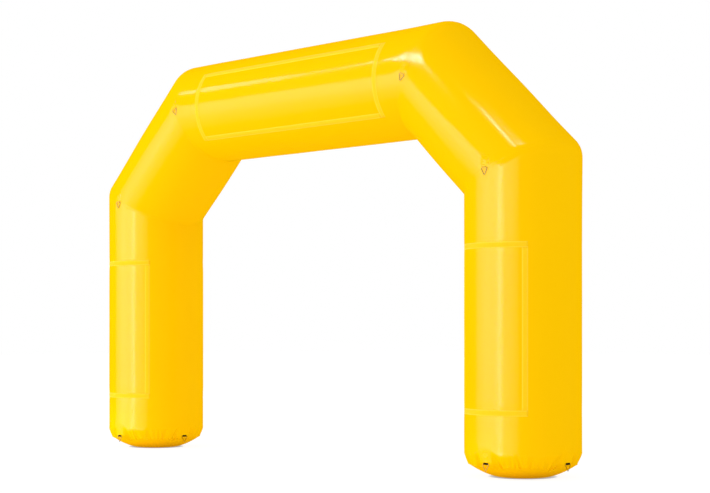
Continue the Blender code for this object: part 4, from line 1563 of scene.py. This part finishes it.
    def build_patch(self) -> None:
        """Builds the welded patch with its wrinkles and the ridge of the webbing under it."""
        half_tail, low = self.webbing_width / 2, self.webbing_showing
        half = half_tail + self.patch_ramp + self.patch_border
        high = low + self.webbing_tail + self.patch_ramp + self.patch_border
        middle, tail_top = (low + high) / 2, low + self.webbing_tail
        across, up = np.linspace(-half, half, 41), np.linspace(low, high, 45)
        u, v = np.meshgrid(across, up)
        du = np.clip(np.abs(u) - (half - self.patch_corner), 0.0, None)
        dv = np.clip(np.abs(v - middle) - ((high - low) / 2 - self.patch_corner), 0.0, None)
        over = np.hypot(du, dv)
        cut_off = np.where(over > 0.0, 1 - np.maximum(du, dv) / np.maximum(over, 1e-9), 0.0)
        u = np.sign(u) * (np.abs(u) - du * cut_off)
        v = v - np.sign(v - middle) * dv * cut_off
        beside = 1 - smooth_step(np.abs(u), half_tail + self.tail_ramp[0], half_tail + self.tail_ramp[1])
        over_tail = beside * (1 - smooth_step(v, tail_top + self.tail_end[0], tail_top + self.tail_end[1]))
        spots = np.stack([u, np.zeros_like(u), v], axis=-1)
        seed = float(sum(map(ord, self.name)) % 97)
        crumple = sum(wander(spots, pitch, seed + shift) * depth for pitch, shift, depth in self.crumples)
        body = smooth_step(np.minimum(half - np.abs(u), high - v), 0.0, self.patch_ramp)
        height = self.patch_thickness + over_tail * 2 * self.webbing_thickness
        height += np.clip(crumple + self.crumple_lift, 0.0, None) * body
        height[[0, -1], :] = height[:, [0, -1]] = self.patch_tuck
        rows = self.anchor.world(np.stack([u, self.skin_depth(u, v) - height, v], axis=-1))
        mesh = grid_mesh(f"{self.name}_patch", rows, flat_cut(across, up), False)
        self.wardrobe.add_piece(mesh, FABRIC, "vinyl_skin", ROOT_BODY, f"{self.name}_ring_tab")

    def build(self) -> None:
        """Builds the ring, its webbing and its patch."""
        self.build_ring()
        self.build_webbing()
        self.build_patch()


# The inflation valve


@dataclass
class InflationValve:
    """Sprung inflation valve on the rear of the right leg. Its own Z points out of the tube."""

    wardrobe: Wardrobe
    steps: int = 72
    sharp_degrees: float = 40.0
    bore: float = 0.018
    barrel: float = 0.022
    barrel_depth: float = 0.026
    flange: float = 0.034
    flange_low: float = 0.0018
    flange_top: float = 0.0048
    rim: float = 0.0108
    clearance: float = 0.0003
    hub_profile: tuple[Pair, ...] = (
        (0.0033, -0.023), (0.0065, -0.023), (0.0065, -0.02), (0.0033, -0.02), (0.0033, -0.023),
    )
    arms: int = 3
    arm_reach: Pair = (0.005, 0.0195)
    arm_height: float = -0.0215
    arm_profile: tuple[Pair, ...] = (
        (0.002, -0.0012), (0.002, 0.0008), (0.0014, 0.0012), (-0.0014, 0.0012), (-0.002, 0.0008),
        (-0.002, -0.0012), (0.002, -0.0012),
    )
    cap_height: float = 0.003
    cap_lip: float = 0.001
    cap_plug: float = 0.005
    knurls: int = 36
    knurl_depth: float = 0.00035
    grip_inset: float = 0.006
    grip_height: float = 0.004
    grip_profile: tuple[Pair, ...] = (
        (0.0021, -0.1), (0.002, 0.2), (0.0017, 0.8), (0.0011, 0.98), (0.0, 1.0),
    )
    plunger_profile: tuple[Pair, ...] = (
        (0.0, -0.0288), (0.0203, -0.0288), (0.0205, -0.0286), (0.0205, -0.0265), (0.0203, -0.0263),
        (0.003, -0.0263), (0.003, -0.003), (0.0078, -0.003), (0.008, -0.0027), (0.008, -0.0006),
        (0.0075, -0.0001), (0.006, 0.0), (0.003, -0.0004), (0.0, -0.0005),
    )
    spring_low: float = -0.0197
    spring_high: float = -0.0033
    spring_radius: float = 0.0052
    spring_wire: float = 0.0006
    spring_turns: float = 4.5
    spring_steps: int = 144
    spring_end_pitch: float = 0.3
    press: float = 0.008
    patch_profile: tuple[Pair, ...] = (
        (0.0225, -0.0001), (0.0338, -0.0001), (0.0342, -0.0001), (0.0348, 0.0006), (0.036, 0.0009),
        (0.045, 0.0009), (0.055, 0.0009), (0.065, 0.0009), (0.0725, 0.0009), (0.0738, 0.0006), (0.0742, -0.0006),
    )

    def world(self, points: Grid) -> Grid:
        """Points from the valve's own coordinates to the frame's."""
        return carried(points, Matrix.Translation(Vector(VALVE_SPOT)) @ Matrix.Rotation(-math.pi / 2, 4, "X"))

    def turned(
        self,
        name: str,
        profile: Sequence[Pair],
        finish: Finish,
        body: str,
        *replaced: str,
        ridges: Callable[[Grid, float, float], Grid] | None = None,
    ) -> None:
        """Adds a piece turned about the valve's axis.

        Args:
            name: Name of the piece.
            profile: Radius and height of each point, so that the outside is on the left of the way.
            finish: Its finish.
            body: The frame's body that it rides on.
            replaced: The frame's nodes that it stands for.
            ridges: Change of radius at angles, for a point of the profile, where the piece has ridges.
        """
        angles = round_angles(self.steps)
        rows = []
        for radius, height in profile:
            spread = np.full_like(angles, max(radius, 0.00005))
            if ridges:
                spread = spread + ridges(angles, radius, height)
            spots = [spread * np.cos(angles), spread * np.sin(angles), np.full_like(angles, height)]
            rows.append(np.stack(spots, axis=1))
        cut = flat_cut(round_cut(self.steps, self.flange), run_along(np.array(profile)))
        mesh = grid_mesh(name, self.world(np.array(rows)), cut, True)
        mesh.set_sharp_from_angle(angle=math.radians(self.sharp_degrees))
        self.wardrobe.add_piece(mesh, finish, "valve_plastic", body, *replaced)

    def build_body(self) -> None:
        """Builds the flanged barrel with its hub on three arms."""
        bore, barrel, flange, rim = self.bore, self.barrel, self.flange, self.rim
        depth, low, top = self.barrel_depth, self.flange_low, self.flange_top
        profile = [
            (bore, -depth), (barrel, -depth), (barrel, low),
            (flange - 0.0005, low), (flange, low + 0.0005),
            (flange, top - 0.001), (flange - 0.0003, top - 0.0004), (flange - 0.001, top),
            (barrel + 0.0012, top), (barrel + 0.0003, top + 0.0003), (barrel, top + 0.001),
            (barrel, rim - 0.0006), (barrel - 0.0002, rim - 0.0002), (barrel - 0.0006, rim),
            (bore + 0.0006, rim), (bore + 0.0002, rim - 0.0002), (bore, rim - 0.0006), (bore, -depth),
        ]
        self.turned("inflation_valve_barrel", profile, VALVE_PLASTIC, ROOT_BODY, "inflation_valve_body")
        self.turned("inflation_valve_hub", self.hub_profile, VALVE_PLASTIC, ROOT_BODY)
        for k in range(self.arms):
            self.build_arm(k)

    def build_arm(self, k: int) -> None:
        """Builds one arm between the hub and the barrel.

        Args:
            k: Number of the arm, from 0.
        """
        run = np.linspace(*self.arm_reach, 5)
        turn = 2 * math.pi * (k + 0.5) / self.arms
        cosine, sine = math.cos(turn), math.sin(turn)
        rows = []
        for across, lift in self.arm_profile:
            height = np.full_like(run, self.arm_height + lift)
            rows.append(np.stack([run * cosine - across * sine, run * sine + across * cosine, height], axis=1))
        cut = flat_cut(run, np.arange(len(rows)) * 0.002)
        mesh = grid_mesh(f"inflation_valve_arm_{k + 1}", self.world(np.array(rows)), cut, False)
        self.wardrobe.add_piece(mesh, VALVE_PLASTIC, "valve_plastic", ROOT_BODY)

    def build_cap(self) -> None:
        """Builds the cap with its grip ridge and the knurl round its lip."""
        low, lip, plug = self.rim + self.clearance, self.barrel + self.cap_lip, self.bore - self.clearance
        top, bottom = low + self.cap_height, self.rim - self.cap_plug

        def knurl(angles: Grid, radius: float, height: float) -> Grid:
            """Change of radius that the knurl makes."""
            on_lip = radius > lip - 0.0004 and low < height < top
            return self.knurl_depth * (np.abs(np.sin(angles * self.knurls / 2)) - 1) if on_lip else 0 * angles

        profile = [
            (0.0, bottom), (plug - 0.0006, bottom), (plug, bottom + 0.0006), (plug, low), (lip, low),
            (lip, low + 0.0003), (lip, top - 0.0008), (lip - 0.0003, top - 0.0003), (lip - 0.001, top), (0.0, top),
        ]
        self.turned(
            "inflation_valve_cover", profile, VALVE_PLASTIC, "valve_cap", "inflation_valve_cap", ridges=knurl
        )
        self.build_grip(top, lip - self.grip_inset)

    def build_grip(self, top: float, length: float) -> None:
        """Builds the ridge that the cap is pulled by.

        Args:
            top: Height of the cap's face.
            length: Half the length of the ridge.
        """
        run = np.linspace(-length, length, 17)
        fall = 1 - np.abs(run / length) ** 6
        rows = []
        for across, share in mirrored(self.grip_profile):
            height = top + self.grip_height * share * (fall if share > 0 else 1 + 0 * fall)
            rows.append(np.stack([run, across * (0.55 + 0.45 * fall), height], axis=1))
        cut = flat_cut(run, np.arange(len(rows)) * 0.001)
        mesh = grid_mesh("inflation_valve_grip", self.world(np.array(rows))[::-1], cut, False)
        self.wardrobe.add_piece(mesh, VALVE_PLASTIC, "valve_plastic", "valve_cap")

    def build_spring(self) -> None:
        """Builds the coil, its turns closer together at both ends."""
        name = "inflation_valve_coil"
        turns = np.linspace(0.0, self.spring_turns, self.spring_steps + 1)
        pitch = np.clip(np.minimum(turns, self.spring_turns - turns), self.spring_end_pitch, 1.0)
        rise = np.cumsum(pitch) - pitch[0]
        low, high = self.spring_low + self.spring_wire, self.spring_high - self.spring_wire
        angles = 2 * math.pi * turns
        across, up = self.spring_radius * np.cos(angles), self.spring_radius * np.sin(angles)
        path = self.world(np.stack([across, up, low + (high - low) * rise / rise[-1]], axis=1))
        holder = bpy.data.objects.new(name, wire_curve(name, path, self.spring_wire, False))
        mesh = bpy.data.meshes.new_from_object(holder)
        bpy.data.objects.remove(holder)
        mesh.name = name
        piece = self.wardrobe.add_piece(mesh, SPRING_WIRE, "spring_steel", ROOT_BODY, "inflation_valve_spring")
        seat = self.world(np.array([[0.0, 0.0, self.spring_low]]))[0]
        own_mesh(piece)

    def build_patch(self) -> None:
        """Builds the seat under the flange and the welded reinforcing ring round it."""
        angles = round_angles(self.steps)
        rows = []
        for radius, height in self.patch_profile:
            turn = math.pi - np.arcsin(radius * np.cos(angles) / ARCH.tube_radius)
            up = VALVE_SPOT[2] + radius * np.sin(angles)
            rows.append(SkinShape(Section.RIGHT_LEG).laid(turn, up, np.full_like(angles, height)))
        cut = flat_cut(round_cut(self.steps, self.flange), [radius for radius, _ in self.patch_profile])
        mesh = grid_mesh("inflation_valve_patch", np.array(rows)[::-1], cut, True)
        self.wardrobe.add_piece(mesh, FABRIC, "vinyl_skin", ROOT_BODY)

    def dress_kept_nodes(self) -> None:
        """Gives the frame's own gasket and nut their finishes."""
        for node, finish in (("inflation_valve_gasket", SEAL_RUBBER), ("inflation_valve_nut", VALVE_PLASTIC)):
            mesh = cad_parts[node].data
            mesh.materials.clear()
            mesh.materials.append(self.wardrobe.of(finish))

    def build(self) -> None:
        """Builds the whole valve."""
        self.build_body()
        self.build_cap()
        self.turned(
            "inflation_valve_button", self.plunger_profile, SEAL_RUBBER, "valve_plunger", "inflation_valve_plunger"
        )
        self.build_spring()
        self.build_patch()
        self.dress_kept_nodes()
        log.info("inflation valve built")


# The studio


WHITE: Colour = (1.0, 1.0, 1.0)
WINDOW_TINT: Colour = (0.88, 0.7, 1.0)


@dataclass(frozen=True)
class WindowBank:
    """Wall of bright windows that the gloss shows, as a brightness for each direction in the world.

    The bearings are in degrees to the right of straight ahead of the arch, and the heights in degrees
    above the horizon. Each comes with a share of the full brightness.
    """

    brightness: float = 33.0
    bearings: tuple[Pair, ...] = (
        (-66.0, 0.0), (-62.0, 0.05), (-55.5, 0.11), (-47.0, 0.18), (-39.4, 0.3), (-32.0, 0.37), (-25.0, 0.4),
        (-18.0, 0.44), (-11.6, 0.58), (-8.5, 0.86), (-5.2, 1.0), (-2.5, 0.83), (0.0, 0.46), (3.0, 0.33),
        (8.0, 0.28), (14.0, 0.27), (19.0, 0.22), (25.0, 0.13), (29.5, 0.095), (32.5, 0.0),
    )
    heights: tuple[Pair, ...] = (
        (-26.0, 0.0), (-22.0, 0.14), (-16.0, 0.27), (-9.0, 0.46), (-4.0, 0.78), (4.0, 1.0), (10.5, 0.95), (12.0, 0.0),
    )

    def ramp(self, kit: NodeKit, degrees: Socket, stops: Sequence[Pair]) -> Socket:
        """Adds a ramp over an angle.

        Args:
            kit: The world's nodes.
            degrees: The angle in degrees.
            stops: Angles with the share at each of them, in order.

        Returns:
            The share.
        """
        low, high = stops[0][0], stops[-1][0]
        place = kit.math("DIVIDE", kit.math("SUBTRACT", degrees, low), high - low)
        node = kit.add("ValToRGB", {0: place})
        elements = node.color_ramp.elements
        elements[0].color, elements[1].color = [(share, share, share, 1.0) for _, share in (stops[0], stops[-1])]
        for angle, share in stops[1:-1]:
            elements.new((angle - low) / (high - low)).color = (share, share, share, 1.0)
        return node.outputs["Color"]

    def build(self, kit: NodeKit, direction: bpy.types.NodeOutputs) -> Socket:
        """Adds the bank's nodes to the world.

        Args:
            kit: The world's nodes.
            direction: The three numbers of the direction looked in.

        Returns:
            Its brightness.
        """
        ahead = kit.math("MULTIPLY", direction[1], -1.0)
        bearing = kit.math("DEGREES", kit.math("ARCTAN2", direction[0], ahead))
        height = kit.math("DEGREES", kit.math("ARCSINE", direction[2]))
        share = kit.math("MULTIPLY", self.ramp(kit, bearing, self.bearings), self.ramp(kit, height, self.heights))
        return kit.math("MULTIPLY", share, self.brightness)


def add_area_lamp(name: str, width: float, height: float, radiance: float) -> bpy.types.Object:
    """Adds an area lamp that the camera doesn't see.

    Args:
        name: Name of the lamp.
        width: Its width.
        height: Its height.
        radiance: Its brightness at any distance, which sets its power.

    Returns:
        The lamp.
    """
    data = bpy.data.lights.new(name, "AREA")
    data.shape = "RECTANGLE"
    data.size, data.size_y = width, height
    data.energy = radiance * math.pi * data.size * data.size_y
    lamp = bpy.data.objects.new(name, data)
    lamp.visible_camera = False
    bpy.context.scene.collection.objects.link(lamp)
    return lamp


@dataclass(frozen=True)
class Lamp:
    """An area lamp that faces a point, and lights surfaces without showing in their gloss."""

    name: str
    place: Spot
    target: Spot
    width: float
    height: float
    radiance: float

    def build(self) -> None:
        """Adds the lamp."""
        lamp = add_area_lamp(self.name, self.width, self.height, self.radiance)
        lamp.location = self.place
        aim = Vector(self.target) - Vector(self.place)
        lamp.rotation_euler = aim.to_track_quat("-Z", "Y").to_euler()
        lamp.visible_glossy = False


@dataclass(frozen=True)
class GlossStrip:
    """Bright window that only shows in gloss, upright in a plane in front of the arch.

    Its two ends are each given by their X and their height above the floor.
    """

    name: str
    start: Pair
    end: Pair
    height: float
    radiance: float
    ahead: float = 10.5

    def build(self) -> None:
        """Adds the strip between its two ends."""
        run = Vector((self.end[0] - self.start[0], 0.0, self.end[1] - self.start[1]))
        lamp = add_area_lamp(self.name, run.length, self.height, self.radiance)
        lamp.data.color = WINDOW_TINT
        turn = Matrix.Rotation(-math.atan2(run.z, run.x), 4, "Y") @ Matrix.Rotation(math.pi / 2, 4, "X")
        centre = ((self.start[0] + self.end[0]) / 2, -self.ahead, (self.start[1] + self.end[1]) / 2)
        lamp.matrix_world = Matrix.Translation(centre) @ turn
        lamp.visible_diffuse = False


@dataclass(frozen=True)
class Studio:
    """Camera, lamps, floor and background."""

    camera_place: Spot = (11.4336, -10.7344, 1.2375)
    camera_yaw: float = 0.79445
    lens: float = 82.495
    sensor: float = 36.0
    rise: float = 0.1193
    view_reach: float = 200.0
    ambient: float = 1.06
    ambient_fall: float = 0.16
    window_bank: WindowBank = WindowBank()
    yellow_glow: Colour = (0.94, 0.53, 0.01)
    glow_level: float = 0.85
    floor_half: float = 60.0
    floor_colour: Colour = (0.88, 0.88, 0.88)
    floor_seen_colour: Colour = (0.12, 0.12, 0.12)
    floor_glow: float = 0.14
    # Glow that the camera sees, from the painted contact shadow under the feet to the open floor, over the reach of
    # ambient occlusion below.
    painted_shadow_glow_range: Pair = (0.35, 0.92)
    painted_shadow_reach: float = 0.024
    near_lamps_ahead: float = 3.0

    def build_camera(self) -> None:
        """Adds the camera at the photograph's view."""
        data = bpy.data.cameras.new("photo_view")
        data.lens, data.sensor_width, data.shift_y = self.lens, self.sensor, self.rise
        data.clip_end = self.view_reach
        camera = bpy.data.objects.new("photo_view", data)
        camera.location = self.camera_place
        camera.rotation_euler = (math.pi / 2, 0.0, self.camera_yaw)
        bpy.context.scene.collection.objects.link(camera)
        bpy.context.scene.camera = camera

    def build_world(self) -> None:
        """Makes the world: white to the camera, even light on surfaces, and the window bank in gloss.

        A yellow glow is added in gloss, so that the skin stays yellow where it is seen at a slant.
        """
        world = bpy.data.worlds.new("studio")
        world.use_nodes = True
        world.cycles.sampling_method = "NONE"
        kit = NodeKit(world.node_tree)
        rays = kit.add("LightPath").outputs
        direction = kit.parts(kit.add("TexCoord").outputs["Generated"])
        level = kit.math("SUBTRACT", self.ambient, kit.math("MULTIPLY", direction[2], self.ambient_fall))
        gloss_level = self.window_bank.build(kit, direction)
        for ray, seen in (("Is Glossy Ray", gloss_level), ("Is Camera Ray", 1.0)):
            change = kit.math("MULTIPLY", rays[ray], kit.math("SUBTRACT", seen, level))
            level = kit.math("ADD", level, change)
        glow_level = kit.math("MULTIPLY", rays["Is Glossy Ray"], self.glow_level)
        glow = kit.add("Background", {"Color": (*self.yellow_glow, 1.0), "Strength": glow_level})
        light = world.node_tree.nodes["Background"]
        kit.feed(light.inputs["Color"], kit.tint(rays["Is Glossy Ray"], WHITE, WINDOW_TINT))
        kit.feed(light.inputs["Strength"], level)
        total = kit.add("AddShader", {0: light.outputs[0], 1: glow.outputs[0]})
        kit.feed(world.node_tree.nodes["World Output"].inputs["Surface"], total.outputs[0])
        bpy.context.scene.world = world

    def build_floor(self) -> None:
        """Adds the pale floor, which the camera sees as white with the object's faint real shadow on it, and a
        painted contact shadow under the feet.
        """
        mesh = bpy.data.meshes.new("floor")
        corners = [(x * self.floor_half, y * self.floor_half, 0) for x, y in ((-1, -1), (1, -1), (1, 1), (-1, 1))]
        mesh.from_pydata(corners, [], [(0, 1, 2, 3)])
        kit = Dresser("pale_floor", 1.0, specular=0.0)
        kit.give("Emission Color", (*WHITE, 1.0))
        seen = kit.add("LightPath").outputs["Is Camera Ray"]
        # Painted contact shadow: ambient occlusion near the feet dims the glow that the camera sees.
        painted_contact_shadow = kit.add("AmbientOcclusion", {"Distance": self.painted_shadow_reach}).outputs["AO"]
        kit.give("Base Color", kit.tint(seen, self.floor_colour, self.floor_seen_colour))
        glow_with_painted_shadow = kit.between(painted_contact_shadow, *self.painted_shadow_glow_range)
        kit.give("Emission Strength", kit.between(seen, self.floor_glow, glow_with_painted_shadow))
        mesh.materials.append(kit.material)
        floor = bpy.data.objects.new("floor", mesh)
        floor.visible_glossy = False
        bpy.context.scene.collection.objects.link(floor)

    def build(self) -> None:
        """Builds the studio."""
        self.build_camera()
        self.build_world()
        self.build_floor()
        near = self.near_lamps_ahead
        lamps = (
            Lamp("key_panel", (-7.0, -11.6, 8.4), (0.0, 0.0, 2.0), 12.0, 8.0, 2.2),
            Lamp("left_foot_card", (-2.65, -0.8, 0.012), (-ARCH.leg_x, 0.0, 0.4), 1.3, 0.4, 1.0),
            Lamp("right_foot_card", (2.45, -0.8, 0.012), (ARCH.leg_x, 0.0, 0.4), 1.3, 0.4, 0.6),
            GlossStrip("beam_strip", (-25.0, 17.7), (-15.2, 13.76), 2.4, 9.0),
            GlossStrip("beam_strip_end", (-15.2, 13.76), (-12.6, 13.0), 1.2, 1.0),
            GlossStrip("corner_bank_start", (-13.3, 14.8), (-10.2, 13.8), 0.8, 26.0),
            GlossStrip("corner_bank", (-10.5, 14.0), (-5.3, 12.4), 0.5, 74.0),
            GlossStrip("corner_bank_low", (-5.3, 12.4), (-2.2, 12.35), 1.05, 66.0),
            GlossStrip("corner_bank_end", (-2.6, 12.25), (-1.75, 13.3), 1.3, 13.0),
            GlossStrip("shoulder_strip_top", (2.19, 6.62), (2.63, 6.57), 0.3, 12.0, near),
            GlossStrip("shoulder_strip", (2.65, 6.55), (2.77, 6.58), 0.8, 115.0, near),
            GlossStrip("shoulder_strip_end", (3.2, 7.15), (3.91, 8.83), 0.49, 36.0, near),
        )
        for lamp in lamps:
            lamp.build()


def main() -> None:
    """Builds every sub-assembly over the frame, then the studio."""
    logging.basicConfig(level=logging.INFO, format="%(name)s: %(message)s")
    bpy.context.scene.view_settings.view_transform = "Standard"
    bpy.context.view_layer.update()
    wardrobe = Wardrobe()
    Envelope(wardrobe).build()
    BannerFrames(wardrobe).build()
    for anchor in ANCHORS:
        RingTab(wardrobe, anchor).build()
    log.info("%d rings with their tabs", len(ANCHORS))
    InflationValve(wardrobe).build()
    Studio().build()


if __name__ == "__main__":
    main()
